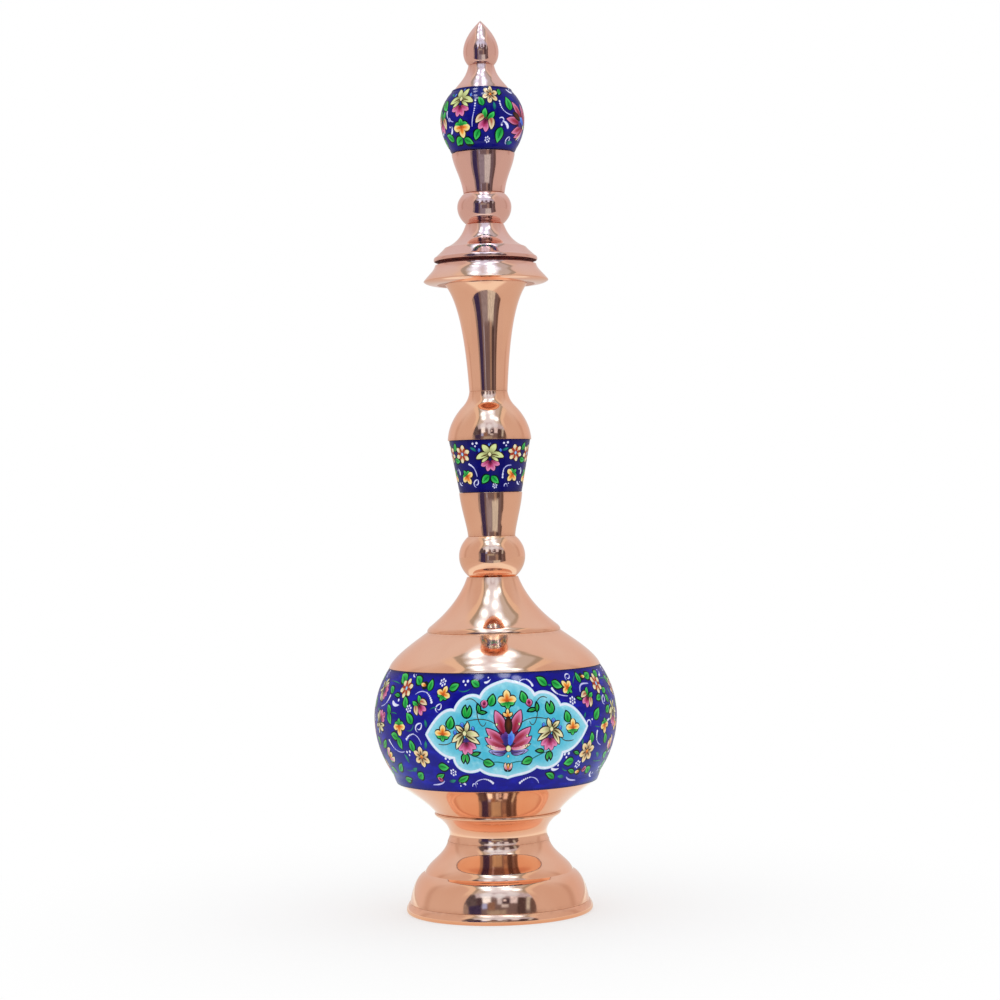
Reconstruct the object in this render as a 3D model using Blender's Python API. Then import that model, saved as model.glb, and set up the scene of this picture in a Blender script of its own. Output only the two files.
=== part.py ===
# Lidded copper decanter with enamelled bands on its body, neck and lid.
# Spun copper sections stand end to end, each with a spigot soldered into the one below.
# Values are in millimetres and outlines are (radius, height) points, lowest first.
# The decanter stands on z = 0 with its axis along +Z.

import math

import bmesh
import bpy
from mathutils import Vector

MM = 0.001

# Driving dimensions: flats round each piece, clearances, and wall and enamel thicknesses
SIDES = 20
GAP = 0.3
BED = 0.35
BODY_WALL = 1.2
NECK_WALL = 0.9
ENAMEL = 0.9

# Heights of the joints between sections, from the floor up
RING_TOP = 4.6
LEDGE = 17.8
PEDESTAL_TOP = 32.0
RIDGE = 44.8
BODY_BAND_LOW = 58.4
BODY_BAND_HIGH = 109.9
SHOULDER_TOP = 125.6
CONE_TOP = 150.0
BEAD_TOP = 168.2
NECK_BAND_LOW = 187.9
NECK_BAND_HIGH = 211.3
BULB_TOP = 233.2
MOUTH = 291.0
SKIRT_TOP = 308.2
LID_BEAD_TOP = 322.3
STEM_TOP = 340.0
BALL_TOP = 368.5
CAP_TOP = 379.8
TIP = 400.0

# Radii of the main forms
RING_RADIUS = 42.0
DOME_RADIUS = 40.2
LEDGE_RADIUS = 33.2
PEDESTAL_RADIUS = 22.8
RIDGE_RADIUS = 28.4
BOWL_RADIUS = 44.3
BODY_RADIUS = 54.6
SHOULDER_RADIUS = 29.9
CONE_RADIUS = 11.5
BEAD_RADIUS = 14.9
CUP_RADIUS = 14.2
NECK_BAND_RADIUS = 18.4
BULB_RADIUS = 18.8
NECK_RADIUS = 8.6
THROAT_RADIUS = 18.3
FLANGE_RADIUS = 27.9
MOUTH_RADIUS = 22.7
LID_RADIUS = 23.4
PLUG_RADIUS = 16.9
LID_BEAD_RADIUS = 12.2
STEM_RADIUS = 14.2
BALL_RADIUS = 19.1
CAP_RADIUS = 5.8

FINISHES = {
    "copper": {"colour": (0.84, 0.52, 0.38), "roughness": 0.14, "metallic": 1.0},
    "enamel": {"colour": (0.03, 0.03, 0.34), "roughness": 0.12, "metallic": 0.0},
    "solder": {"colour": (0.55, 0.55, 0.54), "roughness": 0.45, "metallic": 1.0},
}


def clear_scene():
    for thing in list(bpy.data.objects):
        bpy.data.objects.remove(thing, do_unlink=True)


def curve(corners, steps):
    """Bezier curve through the first and last corner, pulled by the ones between."""
    degree = len(corners) - 1
    points = []
    for step in range(steps + 1):
        t = step / steps
        weights = [math.comb(degree, k) * t**k * (1 - t) ** (degree - k) for k in range(degree + 1)]
        radius = sum(weight * corner[0] for weight, corner in zip(weights, corners))
        height = sum(weight * corner[1] for weight, corner in zip(weights, corners))
        points.append((radius, height))
    return points


def oval(radius, centre, half_low, half_high, low, high, steps):
    """Egg-shaped line round the axis: half an ellipse below the centre, another above it."""
    points = []
    for step in range(steps + 1):
        height = low + (high - low) * step / steps
        half = half_low if height < centre else half_high
        points.append((radius * math.sqrt(1 - ((height - centre) / half) ** 2), height))
    return points


def inward(line, depth):
    """The line moved towards the axis, square to itself."""
    moved = []
    for index, (radius, height) in enumerate(line):
        before = line[max(index - 1, 0)]
        after = line[min(index + 1, len(line) - 1)]
        along = Vector((after[0] - before[0], after[1] - before[1])).normalized()
        moved.append((radius - depth * along.y, height + depth * along.x))
    return moved


def radius_at(line, height):
    """Radius of a rising line at a height."""
    for below, above in zip(line, line[1:]):
        if below[1] <= height <= above[1]:
            share = (height - below[1]) / (above[1] - below[1])
            return below[0] + share * (above[0] - below[0])
    return line[0][0]


def lining(outer, wall, every):
    """Inner line of a spun wall, level with the outer line at both ends. every thins out its points."""
    low = outer[0][1]
    high = outer[-1][1]
    inside = [point for point in inward(outer, wall)[1:-1:every] if low + wall < point[1] < high - wall / 2]
    return [(outer[0][0] - wall, low)] + inside + [(outer[-1][0] - wall, high)]


def section(outer, wall, spigot_radius, spigot_length, every=1, fair=None):
    """Closed outline of a spun wall whose lower edge steps in to a spigot.

    fair is the outer line without its steps, which the inner line then follows.
    """
    low = outer[0][1]
    shelf = low + wall
    foot = low - spigot_length
    bore = spigot_radius - wall
    inner = lining(fair or outer, wall, every)
    outline = [(spigot_radius, foot), (spigot_radius, low)] + outer + inner[:0:-1]
    outline += [(radius_at(inward(outer, wall), shelf), shelf), (bore, shelf), (bore, foot)]
    return outline


def beneath(outer, depth, drop=0.0, rise=0.0):
    """The line under a band, with its ends straight inwards and moved down by drop and up by rise."""
    low = (outer[0][0] - depth - drop / 2, outer[0][1] - drop)
    high = (outer[-1][0] - depth - rise / 2, outer[-1][1] + rise)
    return [low] + inward(outer, depth)[1:-1] + [high]


def band(outer):
    """Closed outline of an enamel band laid on a copper wall."""
    return outer + beneath(outer, ENAMEL)[::-1]


def make_material(name, finish):
    settings = FINISHES[finish]
    material = bpy.data.materials.new(name + "_" + finish)
    material.use_nodes = True
    shader = material.node_tree.nodes["Principled BSDF"]
    shader.inputs["Base Color"].default_value = (*settings["colour"], 1.0)
    shader.inputs["Roughness"].default_value = settings["roughness"]
    shader.inputs["Metallic"].default_value = settings["metallic"]
    material.diffuse_color = (*settings["colour"], 1.0)
    return material


def turn(name, outline, finish, parent):
    """Spin an outline once round the axis. A line that starts and ends on the axis is solid."""
    base = min(height for radius, height in outline)
    solid = outline[0][0] == 0.0
    shape = bmesh.new()
    rim = [shape.verts.new((radius * MM, 0.0, (height - base) * MM)) for radius, height in outline]
    pairs = list(zip(rim, rim[1:]))
    if not solid:
        pairs.append((rim[-1], rim[0]))
    edges = [shape.edges.new(pair) for pair in pairs]
    bmesh.ops.spin(
        shape,
        geom=rim + edges,
        cent=(0.0, 0.0, 0.0),
        axis=(0.0, 0.0, 1.0),
        angle=math.tau,
        steps=SIDES,
        use_merge=True,
    )
    bmesh.ops.remove_doubles(shape, verts=shape.verts, dist=0.00001)
    bmesh.ops.recalc_face_normals(shape, faces=shape.faces)
    mesh = bpy.data.meshes.new(name)
    shape.to_mesh(mesh)
    shape.free()
    mesh.shade_smooth()
    mesh.set_sharp_from_angle(angle=math.radians(35))
    mesh.materials.append(make_material(name, finish))
    piece = bpy.data.objects.new(name, mesh)
    bpy.context.collection.objects.link(piece)
    piece.parent = parent
    piece.location = (0.0, 0.0, base * MM - parent.location.z)
    return piece


def group(name, height):
    """An empty on the axis that carries the pieces of one body."""
    empty = bpy.data.objects.new(name, None)
    bpy.context.collection.objects.link(empty)
    empty.location = (0.0, 0.0, height * MM)
    return empty


def foot_base_ring(parent):
    inside = RING_RADIUS - 5.4
    upstand = DOME_RADIUS - BODY_WALL - 1.1
    outline = [(inside, 0.0), (RING_RADIUS - 1.0, 0.0), (RING_RADIUS - 0.2, 0.6), (RING_RADIUS, 1.6)]
    outline += [(RING_RADIUS - 0.6, 3.2), (RING_RADIUS - 1.5, RING_TOP)]
    outline += [(upstand, RING_TOP), (upstand, RING_TOP + 3.0), (inside, RING_TOP + 3.0)]
    turn("foot_base_ring", outline, "copper", parent)


def foot_pedestal(parent):
    low = RING_TOP + GAP
    dome = curve([(DOME_RADIUS, low), (39.2, 10.5), (37.7, 15.0), (34.6, LEDGE - 0.5)], 4)
    ogee = curve([(LEDGE_RADIUS, LEDGE + 0.3), (31.8, 22.5), (23.9, 25.6), (PEDESTAL_RADIUS, PEDESTAL_TOP)], 5)
    outer = dome + ogee
    turn("foot_pedestal", outer + lining(outer, BODY_WALL, 1)[::-1], "copper", parent)


def waist_collar(parent):
    low = PEDESTAL_TOP + GAP
    cove = curve([(PEDESTAL_RADIUS - 0.1, low), (20.5, 36.6), (23.4, 40.2), (RIDGE_RADIUS - 0.4, RIDGE - 0.7)], 6)
    outer = cove + [(RIDGE_RADIUS, RIDGE)]
    spigot = PEDESTAL_RADIUS - BODY_WALL - 0.4
    turn("waist_collar", section(outer, BODY_WALL, spigot, 4.0), "copper", parent)


def foot_solder(parent):
    spigot = PEDESTAL_RADIUS - BODY_WALL - 0.4
    height = PEDESTAL_TOP + GAP - 4.0 - 0.35
    outline = [(spigot - 0.8, height), (spigot + 0.8, height), (spigot + 1.2, height - 1.2)]
    turn("foot_solder", outline, "solder", parent)


def body_band_line():
    lip = (45.1, BODY_BAND_LOW)
    return [lip] + oval(BODY_RADIUS, 87.5, 48.3, 45.5, BODY_BAND_LOW + 4.0, BODY_BAND_HIGH, 7)


def body_globe(parent):
    start = RIDGE + GAP + 0.1
    floor = [(0.0, start - 3.6), (16.0, start - 2.8), (24.5, start - 1.0), (26.6, start - 0.1)]
    bowl = curve([(RIDGE_RADIUS - 0.3, start), (32.0, 50.0), (39.6, 54.4), (BOWL_RADIUS, BODY_BAND_LOW - BED)], 5)
    bed = beneath(body_band_line(), ENAMEL + BED, BED, BED)
    shoulder_low = (47.4, BODY_BAND_HIGH + BED)
    shoulder = curve([shoulder_low, (45.6, 114.5), (38.3, 119.8), (SHOULDER_RADIUS, SHOULDER_TOP)], 5)
    outer = bowl + bed + shoulder
    inner = lining(bowl[:-1] + bed[1:-1] + shoulder[1:], BODY_WALL, 2)
    inner_floor = [(radius, height + BODY_WALL + 0.2) for radius, height in floor[:3]]
    outline = floor + outer + inner[:0:-1] + inner_floor[::-1]
    turn("body_globe", outline, "copper", parent)


def globe_solder(parent):
    outline = [(22.0, RIDGE - 1.8), (23.7, RIDGE - 2.6), (24.6, RIDGE - 1.1)]
    turn("globe_solder", outline, "solder", parent)


def body_enamel(parent):
    turn("body_enamel", band(body_band_line()), "enamel", parent)


def shoulder_cone(parent):
    low = SHOULDER_TOP + GAP
    lip = [(SHOULDER_RADIUS, low), (SHOULDER_RADIUS, low + 1.1)]
    cone = curve([(SHOULDER_RADIUS - 1.0, low + 2.2), (20.9, 134.0), (14.5, 141.5), (CONE_RADIUS, CONE_TOP)], 6)
    spigot = SHOULDER_RADIUS - BODY_WALL - 0.4
    turn("shoulder_cone", section(lip + cone, BODY_WALL, spigot, 3.3), "copper", parent)


def shoulder_solder(parent):
    spigot = SHOULDER_RADIUS - BODY_WALL - 0.4
    outline = [(spigot + 0.35, SHOULDER_TOP - 2.7), (spigot + 1.3, SHOULDER_TOP - 1.4)]
    outline += [(spigot + 0.35, SHOULDER_TOP - 0.7)]
    turn("shoulder_solder", outline, "solder", parent)


def neck_bead(parent):
    outer = oval(BEAD_RADIUS, 159.2, 13.0, 12.8, CONE_TOP + GAP, BEAD_TOP, 7)
    spigot = CONE_RADIUS - BODY_WALL - 0.4
    turn("neck_bead", section(outer, NECK_WALL, spigot, 3.6, every=2), "copper", parent)


def neck_band_line():
    return curve([(CUP_RADIUS - 0.1, NECK_BAND_LOW), (NECK_BAND_RADIUS, NECK_BAND_HIGH)], 2)


def neck_cup(parent):
    low = BEAD_TOP + GAP
    cup = curve([(10.65, low), (10.8, 172.5), (13.8, 181.5), (CUP_RADIUS, NECK_BAND_LOW - 0.6)], 5)
    bed = beneath(neck_band_line(), ENAMEL + BED, BED)
    outline = section(cup + bed, NECK_WALL, 9.2, 3.3, fair=cup[:-1] + bed)
    turn("neck_cup", outline, "copper", parent)


def neck_enamel(parent):
    turn("neck_enamel", band(neck_band_line()), "enamel", parent)


def neck_bulb(parent):
    low = NECK_BAND_HIGH + GAP
    bulb = curve([(BULB_RADIUS, low), (18.6, 218.0), (14.9, 223.5), (11.6, 226.8)], 5)
    throat = curve([(11.6, 226.8), (9.6, 229.0), (8.95, 231.0), (NECK_RADIUS, BULB_TOP)], 3)
    turn("neck_bulb", section(bulb + throat[1:], NECK_WALL, 15.2, 3.2), "copper", parent)


def neck_trumpet(parent):
    low = BULB_TOP + GAP
    flare = curve([(NECK_RADIUS, low), (9.7, 252.0), (11.8, 272.5), (THROAT_RADIUS, 281.2)], 8)
    rim = [(18.6, 283.0), (19.6, 287.5), (20.6, MOUTH - 0.6)]
    spigot = NECK_RADIUS - NECK_WALL - 0.4
    turn("neck_trumpet", section(flare + rim, NECK_WALL, spigot, 3.5), "copper", parent)


def mouth_flange(parent):
    under = [(THROAT_RADIUS + 0.7, 281.5), (23.7, 281.0), (26.6, 281.7), (27.6, 282.5)]
    bell = curve([(FLANGE_RADIUS, 283.3), (25.6, 286.3), (23.1, 288.0), (MOUTH_RADIUS, MOUTH)], 4)
    back = [(MOUTH_RADIUS - 1.4, MOUTH), (22.0, 288.2), (24.3, 285.5), (26.2, 283.2), (23.6, 282.1)]
    outline = under + bell + back + [(THROAT_RADIUS + 0.7, 282.5)]
    turn("mouth_flange", outline, "copper", parent)


def mouth_solder(parent):
    outline = [(THROAT_RADIUS + 1.1, 282.9), (THROAT_RADIUS + 2.9, 282.7), (THROAT_RADIUS + 1.3, 284.6)]
    turn("mouth_solder", outline, "solder", parent)


def lid_plug(parent):
    seat_height = MOUTH + GAP
    bottom = seat_height - 9.1
    lip = LID_RADIUS - 2.4
    bore = PLUG_RADIUS - 0.8
    outline = [(0.0, bottom), (PLUG_RADIUS - 0.6, bottom), (PLUG_RADIUS, bottom + 0.6)]
    outline += [(PLUG_RADIUS, seat_height), (lip, seat_height), (lip, seat_height + 0.8)]
    outline += [(bore, seat_height + 0.8), (bore, bottom + 1.0), (0.0, bottom + 1.0)]
    turn("lid_plug", outline, "copper", parent)


def lid_skirt(parent):
    low = MOUTH + GAP
    rim = [(LID_RADIUS - 0.6, low), (LID_RADIUS, low + 0.6), (LID_RADIUS, low + 1.3), (22.6, low + 2.1)]
    brow = curve([(22.0, low + 2.6), (20.9, 295.2), (19.7, 296.8), (18.3, 297.7)], 3)
    cone = curve([(18.3, 297.7), (13.7, 299.6), (10.5, 302.8), (8.65, SKIRT_TOP)], 5)
    upper = brow + cone[1:]
    inside = LID_RADIUS - 2.0
    outline = rim + upper + lining(upper, NECK_WALL, 1)[:0:-1]
    outline += [(inside, low + 1.5), (inside, low)]
    turn("lid_skirt", outline, "copper", parent)


def lid_solder(parent):
    low = MOUTH + GAP + 0.8 + 0.35
    outline = [(LID_RADIUS - 4.0, low), (LID_RADIUS - 2.6, low), (LID_RADIUS - 2.8, low + 0.9)]
    turn("lid_solder", outline, "solder", parent)


def lid_bead(parent):
    outer = oval(LID_BEAD_RADIUS, 316.1, 10.4, 9.2, SKIRT_TOP + GAP, LID_BEAD_TOP, 7)
    turn("lid_bead", section(outer, NECK_WALL, 7.3, 3.0, every=2), "copper", parent)


def lid_stem(parent):
    outer = curve([(9.3, LID_BEAD_TOP + GAP), (10.2, 330.0), (13.4, 334.0), (STEM_RADIUS, STEM_TOP)], 5)
    turn("lid_stem", section(outer, NECK_WALL, 7.7, 2.8, every=2), "copper", parent)


def lid_band_line():
    low = STEM_TOP + 0.4
    ball = oval(BALL_RADIUS, 355.3, 21.3, 17.8, low + 2.0, BALL_TOP - 1.0, 7)
    return [(STEM_RADIUS, low)] + ball + [(13.5, BALL_TOP)]


def lid_ball(parent):
    outer = beneath(lid_band_line(), ENAMEL + BED)
    turn("lid_ball", section(outer, NECK_WALL, 12.2, 3.0), "copper", parent)


def lid_enamel(parent):
    turn("lid_enamel", band(lid_band_line()), "enamel", parent)


def lid_cap(parent):
    low = BALL_TOP + GAP
    outer = curve([(12.6, low), (10.2, 372.0), (6.9, 374.2), (CAP_RADIUS, CAP_TOP)], 5)
    turn("lid_cap", section(outer, NECK_WALL, 10.6, 2.5), "copper", parent)


def lid_finial(parent):
    low = CAP_TOP + GAP
    tenon = CAP_RADIUS - NECK_WALL - 0.4
    bud = curve([(CAP_RADIUS - 0.2, low), (8.6, 382.4), (10.6, 390.3), (0.0, TIP)], 8)
    outline = [(0.0, low - 3.3), (tenon, low - 3.3), (tenon, low)] + bud
    turn("lid_finial", outline, "copper", parent)


def build():
    clear_scene()
    vessel = group("vessel", 0.0)
    foot_base_ring(vessel)
    foot_pedestal(vessel)
    foot_solder(vessel)
    waist_collar(vessel)
    globe_solder(vessel)
    body_globe(vessel)
    body_enamel(vessel)
    shoulder_solder(vessel)
    shoulder_cone(vessel)
    neck_bead(vessel)
    neck_cup(vessel)
    neck_enamel(vessel)
    neck_bulb(vessel)
    neck_trumpet(vessel)
    mouth_solder(vessel)
    mouth_flange(vessel)
    lid = group("lid", MOUTH)
    lid_plug(lid)
    lid_solder(lid)
    lid_skirt(lid)
    lid_bead(lid)
    lid_stem(lid)
    lid_ball(lid)
    lid_enamel(lid)
    lid_cap(lid)
    lid_finial(lid)


build()
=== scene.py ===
import math

import bmesh
import bpy
import numpy as np
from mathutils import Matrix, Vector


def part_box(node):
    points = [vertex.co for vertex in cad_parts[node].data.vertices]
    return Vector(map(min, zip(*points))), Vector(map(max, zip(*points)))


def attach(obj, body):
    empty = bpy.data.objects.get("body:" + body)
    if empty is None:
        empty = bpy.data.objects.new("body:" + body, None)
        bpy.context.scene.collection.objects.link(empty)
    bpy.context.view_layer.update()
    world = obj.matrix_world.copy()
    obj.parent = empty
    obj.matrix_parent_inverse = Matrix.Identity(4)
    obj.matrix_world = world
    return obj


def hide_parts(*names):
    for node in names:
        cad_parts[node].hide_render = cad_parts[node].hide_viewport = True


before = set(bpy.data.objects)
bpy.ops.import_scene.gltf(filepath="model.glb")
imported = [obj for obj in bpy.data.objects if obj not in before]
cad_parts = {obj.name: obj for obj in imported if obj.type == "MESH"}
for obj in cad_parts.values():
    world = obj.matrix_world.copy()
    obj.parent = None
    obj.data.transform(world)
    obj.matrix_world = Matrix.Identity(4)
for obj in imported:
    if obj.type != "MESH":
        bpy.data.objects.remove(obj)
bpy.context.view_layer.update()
mm = 0.001
print("frame loaded:", len(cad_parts), "nodes")


# Shader maths: a socket that takes part in Python expressions, and the one call that makes nodes
class Wire:
    def __init__(self, nodes, end):
        self.nodes = nodes
        self.end = end

    def maths(self, operation, first, second=0.0):
        return self.nodes.make("ShaderNodeMath", {"operation": operation}, {0: first, 1: second})

    def __add__(self, other):
        return self.maths("ADD", self, other)

    __radd__ = __add__

    def __sub__(self, other):
        return self.maths("SUBTRACT", self, other)

    def __rsub__(self, other):
        return self.maths("SUBTRACT", other, self)

    def __mul__(self, other):
        return self.maths("MULTIPLY", self, other)

    __rmul__ = __mul__

    def __truediv__(self, other):
        return self.maths("DIVIDE", self, other)

    def __pow__(self, other):
        return self.maths("POWER", self, other)

    def __neg__(self):
        return self.maths("MULTIPLY", self, -1.0)

    def size(self):                                   # the value without its sign
        return self.maths("ABSOLUTE", self)

    def atMost(self, other):
        return self.maths("MINIMUM", self, other)

    def rise(self, low, high):                        # 0 below low, 1 above high, smooth between
        settings = {"interpolation_type": "SMOOTHSTEP"}
        values = {"Value": self, "From Min": low, "From Max": high}
        return self.nodes.make("ShaderNodeMapRange", settings, values)

    def within(self, low, high, soft):                # 1 from low to high, fading to 0 outside by soft
        return self.rise(low - soft, low + soft) * (1.0 - self.rise(high - soft, high + soft))


class Nodes:
    def __init__(self, block):                        # a material or a world, cleared of its first nodes
        block.use_nodes = True
        self.tree = block.node_tree
        self.tree.nodes.clear()

    def make(self, kind, settings=None, values=None, out=0):
        node = self.tree.nodes.new(kind)
        for key, value in (settings or {}).items():
            if key == "stops":
                for _ in value[2:]:
                    node.color_ramp.elements.new(0.5)
                for stop, (place, colour) in zip(node.color_ramp.elements, value):
                    stop.position = place
                    stop.color = (*colour, 1.0)
            else:
                setattr(node, key, value)
        for key, value in (values or {}).items():
            if isinstance(value, Wire):
                self.tree.links.new(value.end, node.inputs[key])
            elif isinstance(value, tuple) and len(value) == 3 and len(node.inputs[key].default_value) == 4:
                node.inputs[key].default_value = (*value, 1.0)
            else:
                node.inputs[key].default_value = value
        return Wire(self, node.outputs[out]) if node.outputs else None

    def mix(self, share, first, second):              # two colours by a share from 0 to 1
        return self.make("ShaderNodeMix", {"data_type": "RGBA"}, {0: share, 6: first, 7: second}, 2)

    def scaled(self, colour, share):
        return self.make("ShaderNodeVectorMath", {"operation": "SCALE"}, {0: colour, "Scale": share})

    def tinted(self, colour, tint):
        return self.make("ShaderNodeVectorMath", {"operation": "MULTIPLY"}, {0: colour, 1: tint})

    def noise(self, at, scale, detail=2.0, roughness=0.5):
        values = {"Vector": at, "Scale": scale, "Detail": detail, "Roughness": roughness}
        return self.make("ShaderNodeTexNoise", {}, values)

    def bump(self, height, depth, strength=1.0, **under):
        values = {"Height": height, "Distance": depth, "Strength": strength}
        return self.make("ShaderNodeBump", {}, {**values, **under})

    def attribute(self, name, out="Fac"):
        return self.make("ShaderNodeAttribute", {"attribute_name": name}, out=out)

    def place(self):                                  # where the point is on the piece, in metres
        return self.make("ShaderNodeTexCoord", out="Object")

    def parts(self, vector):
        split = self.make("ShaderNodeSeparateXYZ", {}, {0: vector}).end.node
        return [Wire(self, split.outputs[axis]) for axis in range(3)]

    def join(self, across, deep, high):
        return self.make("ShaderNodeCombineXYZ", {}, {"X": across, "Y": deep, "Z": high})

    def lightPath(self, out):
        return self.make("ShaderNodeLightPath", out=out)


def tone(red, green, blue):                           # screen values from 0 to 255, made linear
    shares = np.array([red, green, blue]) / 255
    linear = np.where(shares <= 0.04045, shares / 12.92, ((shares + 0.055) / 1.055) ** 2.4)
    return tuple(float(share) for share in linear)


def surface(name, look, **fixed):
    # A Principled material: look works out what varies, and fixed holds what is the same all over
    material = bpy.data.materials.new(name)
    nodes = Nodes(material)
    shader = nodes.make("ShaderNodeBsdfPrincipled", {}, {**fixed, **look(nodes)})
    nodes.make("ShaderNodeOutputMaterial", {}, {"Surface": shader})
    return material


def finished(colour, rough, normal):
    return {"Base Color": colour, "Roughness": rough, "Normal": normal}


def ringPlace(nodes):
    # Distance from the axis and height, so that a pattern runs in rings as turning marks do
    across, deep, high = nodes.parts(nodes.place())
    return nodes.join((across * across + deep * deep) ** 0.5, 0.0, high)


copperFinish = {
    "bright": (0.96, 0.55, 0.375),
    "warm": (0.93, 0.505, 0.335),
    "lid": (0.85, 0.505, 0.43),
    "lidFrom": (0.279, 0.293),                        # the mouth's heights in metres
    "dull": (0.52, 0.22, 0.13),
    "grooveShare": 0.3,
    "driftScale": 42.0,
    "smearScale": 320.0,
    "roughness": 0.075,
    "hazeRoughness": 0.06,
    "smearHaze": 0.5,
    "ringHaze": 0.3,
    "ringScale": 1400.0,
    "ringDepth": 0.0009 * mm,
    "waveScale": 190.0,
    "waveDepth": 0.032 * mm,
}


def copperLook(nodes):
    # Spun and buffed copper: fine rings, a slow wave from the spinning tool, dull metal in the seams.
    # The lid was spun from a pinker sheet
    own = copperFinish
    at = nodes.place()
    rings = nodes.noise(ringPlace(nodes), own["ringScale"], 3.0)
    wave = nodes.noise(ringPlace(nodes), own["waveScale"], 1.0)
    drift = nodes.noise(at, own["driftScale"], 3.0)
    smear = nodes.noise(at, own["smearScale"], 4.0, 0.6)
    groove = nodes.attribute("groove")
    high = nodes.parts(at)[2]
    colour = nodes.mix(drift.rise(0.35, 0.7), own["bright"], own["warm"])
    colour = nodes.mix(high.rise(*own["lidFrom"]), colour, own["lid"])
    colour = nodes.mix(groove * smear.rise(0.2, 0.75) * own["grooveShare"], colour, own["dull"])
    haze = smear.rise(0.5, 0.85) * own["smearHaze"] + rings.rise(0.45, 0.8) * own["ringHaze"] + groove
    rough = own["roughness"] + haze * own["hazeRoughness"]
    waved = nodes.bump(wave, own["waveDepth"])
    return finished(colour, rough, nodes.bump(rings, own["ringDepth"], Normal=waved))


innerFinish = {
    "raw": (0.74, 0.36, 0.24),
    "brown": (0.45, 0.2, 0.13),
    "blotchScale": 90.0,
    "roughness": 0.28,
    "ringRoughness": 0.12,
    "ringScale": 700.0,
    "ringDepth": 0.02 * mm,
}


def innerLook(nodes):
    # Inside walls are left as spun: duller, browner, with plainer tool rings
    own = innerFinish
    rings = nodes.noise(ringPlace(nodes), own["ringScale"], 3.0)
    blotch = nodes.noise(nodes.place(), own["blotchScale"], 4.0)
    colour = nodes.mix(blotch.rise(0.4, 0.75), own["raw"], own["brown"])
    rough = own["roughness"] + rings * own["ringRoughness"]
    return finished(colour, rough, nodes.bump(rings, own["ringDepth"]))


enamelFinish = {
    "cobalt": tone(12, 10, 134),
    "light": tone(20, 26, 172),
    "deep": tone(8, 6, 80),
    "upperFrom": (0.14, 0.17),                        # heights in metres where the blue is deeper
    "upperShade": 0.46,
    "neckSpan": (0.17, 0.23),
    "neckShade": 0.28,
    "rimShade": 0.85,
    "sweepScale": 150.0,
    "sweepStretch": (0.7, 1.7),
    "grainScale": 1500.0,
    "roughness": 0.3,
    "grainRoughness": 0.08,
    "brushDepth": 0.012 * mm,
}


def enamelLook(nodes):
    # Cobalt brushed on in short sweeps under a clear glaze, darker where it thins out at the rims.
    # The neck and the lid were fired to a deeper blue than the body
    own = enamelFinish
    at = nodes.place()
    across, deep, high = nodes.parts(at)
    flat, tall = own["sweepStretch"]
    sweep = nodes.noise(nodes.join(across * flat, deep * flat, high * tall), own["sweepScale"], 4.0, 0.6)
    grain = nodes.noise(at, own["grainScale"], 2.0)
    colour = nodes.mix(sweep.rise(0.42, 0.72), own["cobalt"], own["light"])
    fired = high.rise(*own["upperFrom"]) * own["upperShade"]
    fired = high.within(*own["neckSpan"], 0.01) * own["neckShade"] + fired
    colour = nodes.mix(fired, colour, own["deep"])
    colour = nodes.mix(nodes.attribute("groove") * own["rimShade"], colour, own["deep"])
    rough = own["roughness"] + grain * own["grainRoughness"]
    return finished(colour, rough, nodes.bump(sweep, own["brushDepth"]))


paintFinish = {
    "cloud": tone(176, 230, 242),
    "cloudScale": 170.0,
    "cloudShare": 0.75,
    "dark": 0.86,
    "spread": 0.3,
    "streakScale": 800.0,
    "roughness": 0.26,
    "streakRoughness": 0.1,
    "brushDepth": 0.01 * mm,
}


def paintLook(nodes):
    # Brushed enamel colours, each stroke a little uneven. Where the paint's alpha is 1 pale clouds show
    own = paintFinish
    at = nodes.place()
    streak = nodes.noise(at, own["streakScale"], 3.0, 0.6)
    cloud = nodes.noise(at, own["cloudScale"], 4.0, 0.6)
    clouded = nodes.attribute("paint", "Alpha") * cloud.rise(0.48, 0.78) * own["cloudShare"]
    colour = nodes.mix(clouded, nodes.attribute("paint", "Color"), own["cloud"])
    colour = nodes.scaled(colour, own["dark"] + streak * own["spread"])
    rough = own["roughness"] + streak * own["streakRoughness"]
    return finished(colour, rough, nodes.bump(streak, own["brushDepth"]))


solderFinish = {
    "bright": (0.62, 0.62, 0.6),
    "dark": (0.34, 0.33, 0.31),
    "lumpScale": 900.0,
    "lumpDepth": 0.15 * mm,
    "lumpStrength": 0.6,
    "roughness": 0.35,
    "lumpRoughness": 0.2,
}


def solderLook(nodes):
    # Soft solder that ran and froze in lumps
    own = solderFinish
    lumps = nodes.noise(nodes.place(), own["lumpScale"], 3.0)
    colour = nodes.mix(lumps.rise(0.35, 0.7), own["dark"], own["bright"])
    rough = own["roughness"] + lumps * own["lumpRoughness"]
    return finished(colour, rough, nodes.bump(lumps, own["lumpDepth"], own["lumpStrength"]))


# Tarnish colours, dark enough to also paint the shade in the gap under the lid
tarnishAndShadeFinish = {
    "dark": tone(98, 26, 24),
    "pale": tone(124, 44, 34),
    "grimeScale": 600.0,
    "grimeDepth": 0.04 * mm,
    "roughness": 0.5,
    "grimeRoughness": 0.3,
}


def tarnishAndShadeLook(nodes):
    # Brown tarnish and dried polish left where a cloth can't reach, made dark as painted shade of the gap
    # under the lid
    own = tarnishAndShadeFinish
    grime = nodes.noise(nodes.place(), own["grimeScale"], 4.0)
    colour = nodes.mix(grime.rise(0.35, 0.7), own["dark"], own["pale"])
    rough = own["roughness"] + grime * own["grimeRoughness"]
    return finished(colour, rough, nodes.bump(grime, own["grimeDepth"]))


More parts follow.
